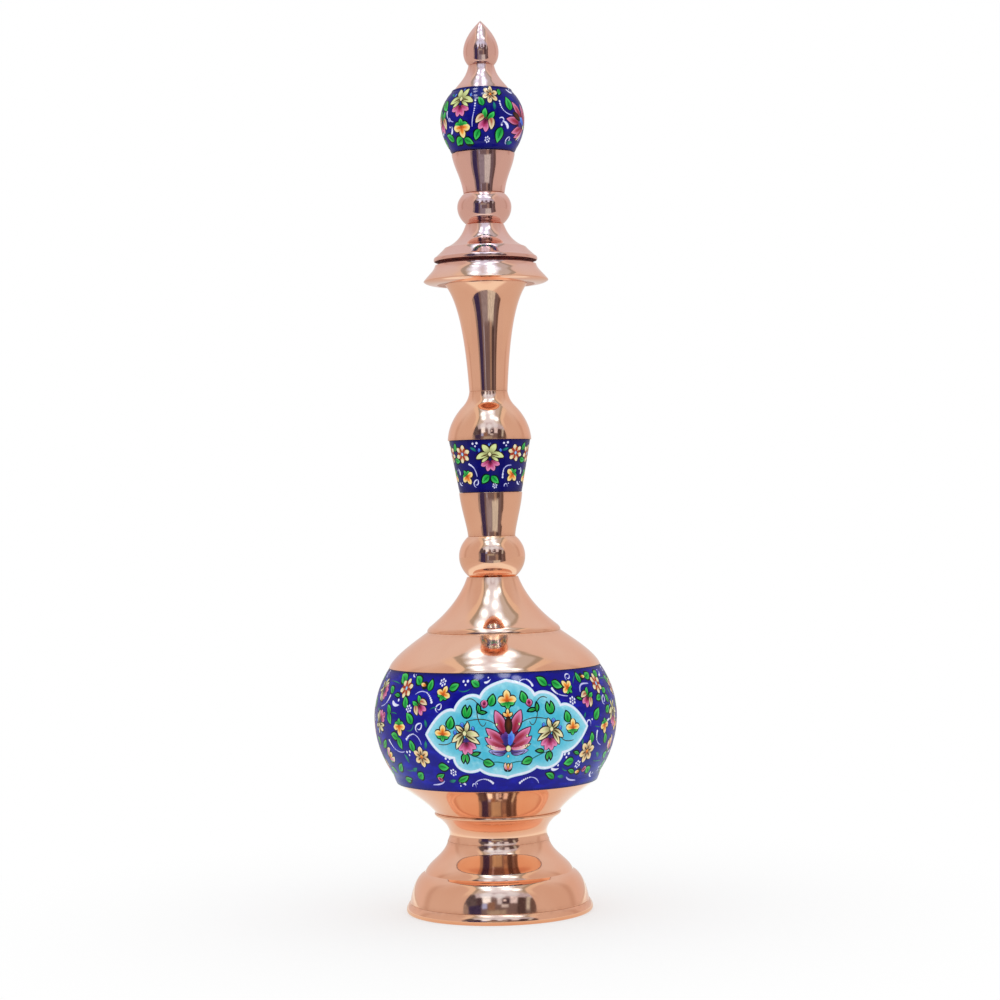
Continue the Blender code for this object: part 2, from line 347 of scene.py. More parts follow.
glaze = {"Coat Weight": 0.36, "Coat Roughness": 0.0, "Specular IOR Level": 0.05}
copper = surface("polishedCopper", copperLook, Metallic=1.0)
innerCopper = surface("spunCopperInside", innerLook, Metallic=1.0)
cobaltEnamel = surface("cobaltEnamel", enamelLook, **glaze)
paintedEnamel = surface("paintedEnamel", paintLook, **glaze)
solder = surface("softSolder", solderLook, Metallic=1.0)
# The recess under the lid: tarnish with painted shade
tarnishAndGapShade = surface("tarnishAndPaintedShade", tarnishAndShadeLook)
print("finishes made")


# Outlines
def bend(corners, steps):
    # Bezier curve through the first and last corner, pulled by those between, by de Casteljau's halving
    share = np.linspace(0, 1, steps + 1)[:, None]
    rows = [np.array(corner, float) for corner in corners]
    while len(rows) > 1:
        rows = [before * (1 - share) + after * share for before, after in zip(rows, rows[1:])]
    return rows[0]


def oval(own, radius, low, high, steps):
    # Egg shape: half an ellipse below the centre height and another above it
    height = np.linspace(low, high, steps + 1)
    half = np.where(height < own["centre"], own["halfLow"], own["halfHigh"])
    return np.stack([radius * np.sqrt(1 - ((height - own["centre"]) / half) ** 2), height], 1)


def inward(line, depth):
    # Each point moves towards the axis, square to the line there
    line = np.asarray(line, float)
    along = np.gradient(line, axis=0)
    along /= np.linalg.norm(along, axis=1)[:, None]
    return line + depth * np.stack([-along[:, 1], along[:, 0]], 1)


def lining(outer, wall):
    # Inner line of a spun wall, level with the outer line at both ends
    outer = np.asarray(outer, float)
    low, high = outer[0, 1], outer[-1, 1]
    inside = inward(outer, wall)[1:-1]
    inside = inside[(inside[:, 1] > low + wall) & (inside[:, 1] < high - wall / 2)]
    return np.vstack([[outer[0, 0] - wall, low], inside, [outer[-1, 0] - wall, high]])


def section(outer, wall, spigotRadius, spigotLength, fair=None):
    # A spun wall whose lower edge steps in to a spigot. fair is the outer line without its steps
    outer = np.asarray(outer, float)
    low = outer[0, 1]
    shelf = low + wall
    foot = low - spigotLength
    bore = spigotRadius - wall
    inner = lining(outer if fair is None else fair, wall)
    moved = inward(outer, wall)
    atShelf = float(np.interp(shelf, moved[:, 1], moved[:, 0]))
    ends = [(atShelf, shelf), (bore, shelf), (bore, foot)]
    return np.vstack([[(spigotRadius, foot), (spigotRadius, low)], outer, inner[:0:-1], ends])


def beneath(outer, depth, drop=0.0, rise=0.0):
    # The line under a band: its ends go straight inwards, and down by drop or up by rise
    outer = np.asarray(outer, float)
    low = (outer[0, 0] - depth - drop / 2, outer[0, 1] - drop)
    high = (outer[-1, 0] - depth - rise / 2, outer[-1, 1] + rise)
    return np.vstack([low, inward(outer, depth)[1:-1], high])


def soften(outline, reach, closed):
    # Corners that turn by more than 20 degrees become short arcs, with a point held on each side of them
    before = np.roll(outline, 1, axis=0) - outline
    after = np.roll(outline, -1, axis=0) - outline
    lengths = np.minimum(np.linalg.norm(before, axis=1), np.linalg.norm(after, axis=1))
    before = before / np.maximum(np.linalg.norm(before, axis=1), 1e-9)[:, None]
    after = after / np.maximum(np.linalg.norm(after, axis=1), 1e-9)[:, None]
    sharp = -(before * after).sum(1) < math.cos(math.radians(20))
    if not closed:
        sharp[0] = sharp[-1] = False
    size = np.minimum(reach, 0.3 * lengths)[:, None]
    share = np.linspace(0, 1, 5)
    arc = [outline + size * ((1 - t) ** 2 * before + t**2 * after) for t in share]
    rows = np.stack([outline + 1.5 * size * before, *arc, outline + 1.5 * size * after], 1)
    rows[~sharp] = outline[~sharp][:, None]
    keep = np.ones(rows.shape[:2], bool)
    keep[~sharp, 1:] = False
    return rows[keep]


# Meshes
roundSteps = 144
seamReach = 1.1                                       # how far dull metal spreads from a seam, in mm


def meshFrom(name, points, faces):
    # Millimetre points and faces become a smooth mesh at its place
    mesh = bpy.data.meshes.new(name)
    mesh.from_pydata((points * mm).tolist(), [], faces)
    mesh.update()
    mesh.shade_smooth()
    piece = bpy.data.objects.new(name, mesh)
    bpy.context.scene.collection.objects.link(piece)
    return piece


def mergeDoubles(piece):
    work = bmesh.new()
    work.from_mesh(piece.data)
    bmesh.ops.remove_doubles(work, verts=work.verts, dist=1e-7)
    work.to_mesh(piece.data)
    work.free()


def faceRows(piece, what):
    rows = np.empty(len(piece.data.polygons) * 3, np.float32)
    piece.data.polygons.foreach_get(what, rows)
    return rows.reshape(-1, 3)


def turned(name, outline, body, seams, materials, reach=0.12):
    # The outline is carried once round the axis. Faces that look towards it take the second material
    outline = np.asarray(outline, float)
    solid = outline[0, 0] == 0.0
    area = (outline[:, 0] * np.roll(outline[:, 1], -1) - np.roll(outline[:, 0], -1) * outline[:, 1]).sum()
    if area < 0:
        outline = outline[::-1]
    outline = soften(outline, reach, not solid)
    count = len(outline)
    angle = np.arange(roundSteps) * 2 * np.pi / roundSteps
    points = np.empty((count, roundSteps, 3))
    points[..., 0] = outline[:, :1] * np.cos(angle)
    points[..., 1] = outline[:, :1] * np.sin(angle)
    points[..., 2] = outline[:, 1:]
    rows = np.arange(count - 1 if solid else count)[:, None]
    steps = np.arange(roundSteps)[None]
    nextRow = (rows + 1) % count
    nextStep = (steps + 1) % roundSteps
    corners = [rows * roundSteps + steps, rows * roundSteps + nextStep]
    corners += [nextRow * roundSteps + nextStep, nextRow * roundSteps + steps]
    faces = np.stack(corners, -1).reshape(-1, 4)
    piece = meshFrom(name, points.reshape(-1, 3), faces.tolist())
    near = np.minimum(np.abs(outline[:, 1] - seams[0]), np.abs(outline[:, 1] - seams[1]))
    groove = np.exp(-((near / seamReach) ** 2))
    mark = piece.data.attributes.new("groove", "FLOAT", "POINT")
    mark.data.foreach_set("value", np.repeat(groove, roundSteps).astype(np.float32))
    for material in materials:
        piece.data.materials.append(material)
    if len(materials) > 1:
        normals, centres = faceRows(piece, "normal"), faceRows(piece, "center")
        hidden = (normals[:, :2] * centres[:, :2]).sum(1) < -1e-6
        piece.data.polygons.foreach_set("material_index", hidden.astype(np.int32))
    if solid:
        mergeDoubles(piece)
    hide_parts(name)
    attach(piece, body)
    piece.name = name + "_fine"
    return piece


def tarnishAndShade(piece, low, high):
    # Faces between two heights are dark with old polish and with painted shade of the gap under the lid
    piece.data.materials.append(tarnishAndGapShade)
    heights = faceRows(piece, "center")[:, 2] / mm
    chosen = np.empty(len(heights), np.int32)
    piece.data.polygons.foreach_get("material_index", chosen)
    chosen[(heights > low) & (heights < high)] = len(piece.data.materials) - 1
    piece.data.polygons.foreach_set("material_index", chosen)


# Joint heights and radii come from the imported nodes
def top(node):
    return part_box(node)[1].z / mm


def bottom(node):
    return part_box(node)[0].z / mm


def reachOf(node):
    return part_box(node)[1].x / mm


walls = {
    "body": 1.2,
    "neck": 0.9,
    "enamel": 0.9,
    "bed": 0.35,                                      # gap between an enamel band and the copper under it
    "seam": 0.03,                                     # gap between two pieces that stand on each other
    "fit": 0.4,                                       # gap round a spigot
    "paintRoom": 0.15,
}
wallPair = [copper, innerCopper]


def heightsOver(below, node):
    return top(below) + walls["seam"], top(node)


def spigotIn(radius, wall):
    return radius - wall - walls["fit"]


def shifted(points, radius, height):
    # Points that are told from a corner at (radius, height)
    return [(radius + across, height + up) for across, up in points]


def spun(node, body, outer, wall, spigot, fair=None, seams=None):
    outline = section(outer, wall, *spigot, fair)
    turned(node, outline, body, seams or (outer[0, 1], outer[-1, 1]), wallPair)


footRing = {
    "edge": [(-1.2, 0.0), (0.35, 0.4), (0.2, 2.6)],   # from the ring's own radius
    "topInset": 1.5,
    "width": 5.4,
    "upstand": 1.1,
    "upstandRise": 3.0,
    "lap": 0.3,
}


def makeFootRing():
    own = footRing
    ringTop = bottom("foot_pedestal") - own["lap"]
    radius = reachOf("foot_base_ring")
    inside = radius - own["width"]
    upstand = reachOf("foot_pedestal") - walls["body"] - own["upstand"]
    upstandTop = ringTop + own["upstandRise"]
    outer = bend([*shifted(own["edge"], radius, 0.0), (radius - own["topInset"], ringTop)], 16)
    back = [(upstand, ringTop), (upstand, upstandTop), (inside, upstandTop), (inside, 0.0)]
    turned("foot_base_ring", np.vstack([outer, back]), "vessel", (ringTop, ringTop), wallPair)


footPedestal = {
    "dome": [(39.2, 10.5), (37.7, 15.0), (34.6, 17.3)],
    "ogee": [(33.2, 18.1), (31.8, 22.5), (23.9, 25.6)],
    "topRadius": 22.8,
}


def makeFootPedestal():
    own = footPedestal
    low, high = bottom("foot_pedestal") - footRing["lap"] + walls["seam"], top("foot_pedestal")
    dome = bend([(reachOf("foot_pedestal"), low), *own["dome"]], 28)
    ogee = bend([*own["ogee"], (own["topRadius"], high)], 36)
    outer = np.vstack([dome, ogee])
    outline = np.vstack([outer, lining(outer, walls["body"])[::-1]])
    turned("foot_pedestal", outline, "vessel", (low, high), wallPair)


waistCollar = {
    "lowRadius": 22.75,
    "waist": [(20.5, 36.6), (23.4, 40.2)],
    "roll": [(-0.9, -1.7), (0.2, -1.6), (0.2, -0.1), (-0.4, 0.0)],    # from the ridge
    "spigot": 4.0,
}


def makeWaistCollar():
    own = waistCollar
    low, high = heightsOver("foot_pedestal", "waist_collar")
    radius = reachOf("waist_collar")
    roll = shifted(own["roll"], radius, high)
    cove = bend([(own["lowRadius"], low), *own["waist"], roll[0]], 32)
    outer = np.vstack([cove, bend(roll, 10)[1:]])
    spigot = (spigotIn(footPedestal["topRadius"], walls["body"]), own["spigot"])
    spun("waist_collar", "vessel", outer, walls["body"], spigot, np.vstack([cove, (radius, high)]))


bodyBand = {
    "centre": 87.5,
    "halfLow": 48.3,
    "halfHigh": 45.5,
    "lipRadius": 45.1,
    "lipRise": 4.0,
    "lipPull": (-0.75, 1.6),
}


def bodyBandLine():
    # The widest ring of the body, with room left for the raised paint inside the frame's box
    own = bodyBand
    radius = reachOf("body_enamel") - walls["paintRoom"]
    low, high = bottom("body_enamel"), top("body_enamel")
    egg = oval(own, radius, low + own["lipRise"], high, 56)
    lip = [(own["lipRadius"] - walls["paintRoom"], low), *shifted([own["lipPull"]], egg[0, 0], low), egg[0]]
    return np.vstack([bend(lip, 6)[:-1], egg])


bodyGlobe = {
    "floor": [(0.0, -3.6), (16.0, -2.8), (24.5, -1.0), (26.6, -0.1)],    # heights from the globe's start
    "floorWall": 1.4,
    "seatInset": 0.35,
    "bowl": [(32.0, 50.0), (39.6, 54.4)],
    "bowlRadius": 44.3,
    "shoulderLow": 47.4,
    "shoulder": [(45.6, 114.5), (38.3, 119.8)],
    "lap": 0.1,
}


def makeBodyGlobe():
    own = bodyGlobe
    start = top("waist_collar") + own["lap"]
    bed = beneath(bodyBandLine(), walls["enamel"] + walls["bed"], own["lap"], own["lap"])
    low, high = bottom("body_enamel") - own["lap"], top("body_enamel") + own["lap"]
    end = (reachOf("shoulder_cone"), top("body_globe"))
    seat = (reachOf("waist_collar") - own["seatInset"], start)
    bowl = bend([seat, *own["bowl"], (own["bowlRadius"], low)], 32)
    shoulder = bend([(own["shoulderLow"], high), *own["shoulder"], end], 36)
    floor = np.array(own["floor"]) + (0.0, start)
    inner = lining(np.vstack([bowl[:-1], bed[1:-1], shoulder[1:]]), walls["body"])
    innerFloor = floor[2::-1] + (0.0, own["floorWall"])
    outline = np.vstack([floor, bowl, bed, shoulder, inner[:0:-1], innerFloor])
    turned("body_globe", outline, "vessel", (start, end[1]), wallPair)


shoulderCone = {
    "lip": [(-0.05, 0.0), (0.15, 0.5), (0.05, 1.1), (-1.0, 2.2)],     # from the cone's own edge
    "cone": [(20.9, 134.0), (14.5, 141.5)],
    "topRadius": 11.5,
    "spigot": 3.3,
}


def makeShoulderCone():
    own = shoulderCone
    low, high = heightsOver("body_globe", "shoulder_cone")
    radius = reachOf("shoulder_cone")
    lip = shifted(own["lip"], radius, low)
    cone = bend([lip[-1], *own["cone"], (own["topRadius"], high)], 36)
    outer = np.vstack([bend(lip, 10)[:-1], cone])
    spun("shoulder_cone", "vessel", outer, walls["body"], (spigotIn(radius, walls["body"]), own["spigot"]))


neckBead = {"radius": 14.9, "centre": 159.2, "halfLow": 13.0, "halfHigh": 12.8, "spigot": 3.6}


def makeNeckBead():
    own = neckBead
    outer = oval(own, own["radius"], *heightsOver("shoulder_cone", "neck_bead"), 36)
    spigot = (spigotIn(shoulderCone["topRadius"], walls["body"]), own["spigot"])
    spun("neck_bead", "vessel", outer, walls["neck"], spigot)


neckCup = {
    "lowRadius": 10.65,
    "cup": [(10.8, 172.5), (13.8, 181.5)],
    "topRadius": 14.2,
    "bandRadius": 14.1,
    "spigot": (9.2, 3.3),
    "lap": 0.1,
}


def neckBandLine():
    # A cone that widens upwards
    low, high = bottom("neck_enamel"), top("neck_enamel")
    room = walls["paintRoom"]
    return bend([(neckCup["bandRadius"] - room, low), (reachOf("neck_enamel") - room, high)], 20)


def makeNeckCup():
    own = neckCup
    low, high = top("neck_bead") + walls["seam"], bottom("neck_enamel")
    cup = bend([(own["lowRadius"], low), *own["cup"], (own["topRadius"], high - own["lap"])], 32)
    bed = beneath(neckBandLine(), walls["enamel"] + walls["bed"], own["lap"])
    outer, fair = np.vstack([cup, bed]), np.vstack([cup[:-1], bed])
    spun("neck_cup", "vessel", outer, walls["neck"], own["spigot"], fair, (low, high))


neckBulb = {
    "bulb": [(18.6, 218.0), (14.9, 223.5), (11.6, 226.8)],
    "throat": [(9.6, 229.0), (8.95, 231.0)],
    "spigot": (15.2, 3.2),
}


def makeNeckBulb():
    own = neckBulb
    low, high = heightsOver("neck_enamel", "neck_bulb")
    bulb = bend([(reachOf("neck_bulb"), low), *own["bulb"]], 30)
    throat = bend([own["bulb"][-1], *own["throat"], (neckTrumpet["lowRadius"], high)], 14)
    spun("neck_bulb", "vessel", np.vstack([bulb, throat[1:]]), walls["neck"], own["spigot"])


neckTrumpet = {
    "lowRadius": 8.6,
    "flare": [(9.7, 252.0), (11.8, 272.5)],
    "throat": (18.3, 281.2),
    "rim": [(18.6, 283.0), (19.6, 287.5), (20.6, 290.4)],
    "spigot": 3.5,
}


def makeNeckTrumpet():
    own = neckTrumpet
    low, high = heightsOver("neck_bulb", "neck_trumpet")
    flare = bend([(own["lowRadius"], low), *own["flare"], own["throat"]], 56)
    outer = np.vstack([flare, bend(own["rim"], 8)])
    spigot = (spigotIn(own["lowRadius"], walls["neck"]), own["spigot"])
    spun("neck_trumpet", "vessel", outer, walls["neck"], spigot, seams=(low, high))


mouthFlange = {
    "throat": (281.5, 282.5),
    "throatGap": 0.1,
    "under": [(23.7, 281.0), (26.6, 281.7), (27.6, 282.5)],
    "edge": (28.3, 282.85),
    "bell": [(27.9, 283.3), (25.6, 286.3), (23.1, 288.0)],
    "mouthRadius": 22.7,
    "brimInset": 0.1,
    "step": (0.85, 1.3),                              # drop and depth
    "lip": 1.7,
    "back": [(22.0, 288.2), (24.3, 285.5), (26.2, 283.2)],
    "backDrop": 0.2,
    "backFoot": (23.6, 282.1),
    "tarnishAndShade": (-0.04, 0.2),
}


def makeMouthFlange():
    own = mouthFlange
    mouth, radius = top("mouth_flange"), own["mouthRadius"]
    throat = neckTrumpet["throat"][0] + own["throatGap"]
    drop, depth = own["step"]
    brim = mouth - drop
    under = bend([(throat, own["throat"][0]), *own["under"]], 16)
    edge = bend([own["under"][-1], own["edge"], own["bell"][0]], 6)[1:-1]
    bell = bend([*own["bell"], (radius + own["brimInset"], brim)], 24)
    rim = [(radius - depth, brim), (radius - depth, mouth), (radius - own["lip"], mouth)]
    back = bend([(radius - own["lip"], mouth - own["backDrop"]), *own["back"]], 16)
    outline = np.vstack([under, edge, bell, rim, back, own["backFoot"], (throat, own["throat"][1])])
    piece = turned("mouth_flange", outline, "vessel", (mouth, mouth), wallPair)
    tarnishAndShade(piece, brim + own["tarnishAndShade"][0], mouth + own["tarnishAndShade"][1])


lidPlug = {
    "radius": 16.9,
    "wall": 0.8,
    "floor": 1.0,
    "chamfer": 0.6,
    "tarnishAndShade": (-0.06, 0.9),
}


def makeLidPlug():
    own = lidPlug
    low, seat = bottom("lid_plug"), bottom("lid_skirt")
    radius, lip = own["radius"], reachOf("lid_plug")
    inside, ledge, floor = radius - own["wall"], seat + own["wall"], low + own["floor"]
    outline = [(0.0, low), (radius - own["chamfer"], low), (radius, low + own["chamfer"]), (radius, seat)]
    outline += [(lip, seat), (lip, ledge), (inside, ledge), (inside, floor), (0.0, floor)]
    piece = turned("lid_plug", outline, "lid", (seat, seat), [copper])
    tarnishAndShade(piece, seat + own["tarnishAndShade"][0], seat + own["tarnishAndShade"][1])


lidSkirt = {
    "gap": 0.5,
    "edge": [(-0.5, 0.5), (0.2, 0.6), (0.1, 2.3)],    # from the rim's own radius and foot
    "shelf": [(22.6, 2.5), (22.1, 2.9)],              # heights from the foot
    "tread": 2.6,
    "back": (0.8, 1.9),
    "brow": [(21.1, 295.1), (19.4, 296.6), (18.3, 297.9)],
    "cone": [(13.7, 299.6), (10.5, 302.8)],
    "topRadius": 8.65,
    "tarnishAndShade": (-0.2, 0.04),
}


def makeLidSkirt():
    own = lidSkirt
    low, high = bottom("lid_skirt"), top("lid_skirt")
    radius = reachOf("lid_skirt")
    start = low + own["gap"]
    shelf = shifted(own["shelf"], 0.0, low)
    edge = bend([*shifted(own["edge"], radius, low), shelf[0]], 12)
    brow = bend([shelf[1], *own["brow"]], 14)
    cone = bend([own["brow"][-1], *own["cone"], (own["topRadius"], high)], 32)
    upper = np.vstack([brow, cone[1:]])
    tread = radius - own["tread"]
    deep, rise = own["back"]
    back = [(tread - deep, low + rise), (tread - deep, low), (tread, low), (tread, start)]
    outline = np.vstack([edge, upper, lining(upper, walls["neck"])[:0:-1], back])
    piece = turned("lid_skirt", outline, "lid", (low, high), wallPair)
    tarnishAndShade(piece, low + own["tarnishAndShade"][0], start + own["tarnishAndShade"][1])


lidBead = {"radius": 12.2, "centre": 316.1, "halfLow": 10.4, "halfHigh": 9.2, "spigot": (7.3, 3.0)}


def makeLidBead():
    outer = oval(lidBead, lidBead["radius"], *heightsOver("lid_skirt", "lid_bead"), 32)
    spun("lid_bead", "lid", outer, walls["neck"], lidBead["spigot"])


lidStem = {"lowRadius": 9.3, "stem": [(10.2, 330.0), (13.4, 334.0)], "spigot": (7.7, 2.8)}


def makeLidStem():
    low, high = heightsOver("lid_bead", "lid_stem")
    outer = bend([(lidStem["lowRadius"], low), *lidStem["stem"], (reachOf("lid_stem"), high)], 30)
    spun("lid_stem", "lid", outer, walls["neck"], lidStem["spigot"])


lidBall = {
    "centre": 355.3,
    "halfLow": 21.3,
    "halfHigh": 17.8,
    "lowRadius": 14.2,
    "lowPull": (-0.35, 1.0),
    "lowRise": 2.0,
    "topRadius": 13.5,
    "topDrop": (0.4, 1.0),
    "spigot": (12.2, 3.0),
}


def lidBandLine():
    own = lidBall
    room = walls["paintRoom"]
    low, high = bottom("lid_enamel"), top("lid_enamel")
    pull, drop = own["topDrop"]
    ball = oval(own, reachOf("lid_enamel") - room, low + own["lowRise"], high - drop, 44)
    start = [(own["lowRadius"] - room, low), *shifted([own["lowPull"]], ball[0, 0], low), ball[0]]
    end = [ball[-1], ((ball[-1, 0] + own["topRadius"]) / 2, high - pull), (own["topRadius"] - room, high)]
    return np.vstack([bend(start, 4)[:-1], ball, bend(end, 3)[1:]])


def makeLidBall():
    outer = beneath(lidBandLine(), walls["enamel"] + walls["bed"])
    spun("lid_ball", "lid", outer, walls["neck"], lidBall["spigot"])


lidCap = {"lowRadius": 12.6, "cap": [(10.2, 372.0), (6.9, 374.2)], "topRadius": 5.8, "spigot": (10.6, 2.5)}


def makeLidCap():
    low, high = heightsOver("lid_enamel", "lid_cap")
    outer = bend([(lidCap["lowRadius"], low), *lidCap["cap"], (lidCap["topRadius"], high)], 30)
    spun("lid_cap", "lid", outer, walls["neck"], lidCap["spigot"])


lidFinial = {"bud": [(8.6, 382.4), (10.6, 390.3)], "lowRadius": 5.6, "tenon": 4.5, "tenonDepth": 3.3}


def makeLidFinial():
    own = lidFinial
    low, high = heightsOver("lid_cap", "lid_finial")
    tenonLow = low - own["tenonDepth"]
    bud = bend([(own["lowRadius"], low), *own["bud"], (0.0, high)], 40)
    outline = np.vstack([[(0.0, tenonLow), (own["tenon"], tenonLow), (own["tenon"], low)], bud])
    turned("lid_finial", outline, "lid", (low, low), [copper])


for makePiece in (
    makeFootRing, makeFootPedestal, makeWaistCollar, makeBodyGlobe, makeShoulderCone, makeNeckBead,
    makeNeckCup, makeNeckBulb, makeNeckTrumpet, makeMouthFlange, makeLidPlug, makeLidSkirt, makeLidBead,
    makeLidStem, makeLidBall, makeLidCap, makeLidFinial,
):
    makePiece()
print("copper turned")

for bandNode, bandLine, bandBody in [
    ("body_enamel", bodyBandLine(), "vessel"),
    ("neck_enamel", neckBandLine(), "vessel"),
    ("lid_enamel", lidBandLine(), "lid"),
]:
    bandOutline = np.vstack([bandLine, beneath(bandLine, walls["enamel"])[::-1]])
    turned(bandNode, bandOutline, bandBody, (bandLine[0, 1], bandLine[-1, 1]), [cobaltEnamel], 0.3)
print("enamel grounds laid")

# Painted enamel. Every petal, leaf, dot and line is a thin crowned lens laid on its band
paintPlan = {
    "crown": 0.03,                                    # how far a stroke's back stands over its edge
    "fullWidth": 2.4,                                 # narrower strokes have less crown
    "under": 0.018,
    "layer": 0.005,
    "strokeLayers": 0.35,
    "detailLayers": 6,
    "fieldLift": 0.012,
    "outlineMost": 0.98,                              # shares of a stroke's half width
    "outlineOnly": 0.12,
    "coreInset": 0.06,
    "baseFade": (0.05, 0.6),                          # start and length along a stroke
    "tipFade": (0.5, 0.42),
    "tipPower": 1.5,
    "threadWidth": 0.46,
    "firstDot": 0.28,
    "bodyReach": 54.6,                                # radii at which arcs are measured
    "neckReach": 16.25,
    "ballReach": 19.1,
    "turnSpread": 4.0,
    "sizeSpread": 0.04,
}

shades = {
    "leafDeep": tone(8, 104, 40), "leaf": tone(8, 152, 56), "leafPale": tone(78, 208, 104),
    "leafLine": tone(2, 24, 26), "teal": tone(30, 136, 122), "tealDeep": tone(12, 78, 92),
    "orange": tone(226, 92, 26), "amber": tone(246, 168, 66), "straw": tone(248, 230, 160),
    "brown": tone(104, 52, 24), "umber": tone(44, 26, 22), "rust": tone(168, 56, 28),
    "cream": tone(240, 226, 184), "lime": tone(216, 228, 158), "olive": tone(116, 106, 56),
    "crimson": tone(136, 18, 58), "ruby": tone(164, 34, 52), "rose": tone(198, 72, 128),
    "pink": tone(228, 138, 184), "plum": tone(48, 8, 42), "violet": tone(110, 62, 142),
    "white": tone(232, 234, 250), "lilac": tone(170, 172, 236), "night": tone(8, 6, 48),
    "sky": tone(108, 166, 242), "azure": tone(46, 92, 214), "ink": tone(34, 24, 112),
    "turquoise": tone(70, 184, 212), "ice": tone(160, 222, 238), "vine": tone(88, 90, 58),
}

# A brush: where along it a stroke is widest, how blunt its ends are, the colours of its base, core, rim
# and outline, how wide the outline is in mm, and how far the core colour holds out from the middle
brushes = {
    "leaf": (0.86, 0.72, "leaf", "leaf", "leafPale", "leafLine", 0.66, 1.8),
    "cap": (1.15, 0.55, "leafDeep", "leaf", "leafPale", "leafLine", 0.54, 1.4),
    "vein": (0.8, 0.5, "leafDeep", "leafDeep", "leafDeep", "leafDeep", 0.05, 1.0),
    "sprig": (0.9, 0.75, "tealDeep", "teal", "teal", "tealDeep", 0.2, 1.0),
    "stem": (1.0, 0.16, "vine", "vine", "vine", "umber", 0.12, 1.0),
    "tendril": (1.0, 0.4, "tealDeep", "teal", "teal", "tealDeep", 0.12, 1.0),
    "bloom": (1.4, 0.42, "orange", "amber", "straw", "umber", 0.52, 0.8),
    "ember": (1.1, 0.6, "rust", "orange", "amber", "amber", 0.06, 1.2),
    "wheel": (1.35, 0.42, "rust", "cream", "cream", "umber", 0.56, 1.0),
    "rib": (1.0, 0.5, "rust", "rust", "rust", "rust", 0.06, 1.0),
    "wing": (1.15, 0.5, "olive", "lime", "lime", "umber", 0.56, 1.6),
    "daisy": (1.3, 0.45, "brown", "amber", "cream", "umber", 0.5, 0.6),
    "lily": (1.05, 0.62, "olive", "lime", "cream", "umber", 0.52, 0.8),
    "shade": (0.7, 0.8, "umber", "brown", "olive", "olive", 0.08, 1.0),
    "redCream": (1.1, 0.58, "rust", "rust", "cream", "umber", 0.5, 0.7),
    "bell": (1.25, 0.5, "crimson", "rose", "pink", "plum", 0.38, 1.0),
    "throat": (0.9, 0.6, "plum", "crimson", "rose", "rose", 0.06, 1.4),
    "lotus": (0.95, 0.7, "crimson", "ruby", "pink", "plum", 0.46, 2.0),
    "heart": (1.0, 0.5, "plum", "plum", "crimson", "plum", 0.2, 1.0),
    "blush": (1.0, 0.6, "rose", "pink", "cream", "plum", 0.3, 1.0),
    "violet": (1.0, 0.6, "ink", "violet", "lilac", "plum", 0.3, 1.2),
    "umber": (1.0, 0.6, "umber", "brown", "umber", "umber", 0.2, 1.0),
    "blue": (1.2, 0.6, "azure", "azure", "sky", "ink", 0.3, 1.4),
    "dusk": (1.1, 0.6, "ink", "ink", "violet", "night", 0.28, 1.4),
    "white": (1.0, 0.5, "white", "white", "white", "lilac", 0.12, 1.0),
    "comma": (0.62, 0.6, "white", "white", "white", "lilac", 0.12, 1.0),
    "thread": (0.8, 0.3, "lilac", "white", "lilac", "lilac", 0.06, 1.0),
    "pale": (1.0, 0.5, "cream", "cream", "lime", "umber", 0.24, 1.0),
    "iceBlue": (1.0, 0.5, "ice", "ice", "lilac", "ink", 0.24, 1.2),
}

# These brushes lie over the rest of their motif
details = ("vein", "ember", "rib", "throat", "shade", "umber", "pale", "iceBlue")


def mirrored(strokes):
    return strokes + [(brush, width, [(-x, z) for x, z in path]) for brush, width, path in strokes]


def both(brush, width, path):
    return mirrored([(brush, width, path)])


def wheelOf(brush, count, width, start, end, first=0.0):
    # Equal petals round a point, each from start out to end
    turns = [math.radians(first + 360 * step / count) for step in range(count)]
    return [(brush, width, [(r * math.sin(t), r * math.cos(t)) for r in (start, end)]) for t in turns]


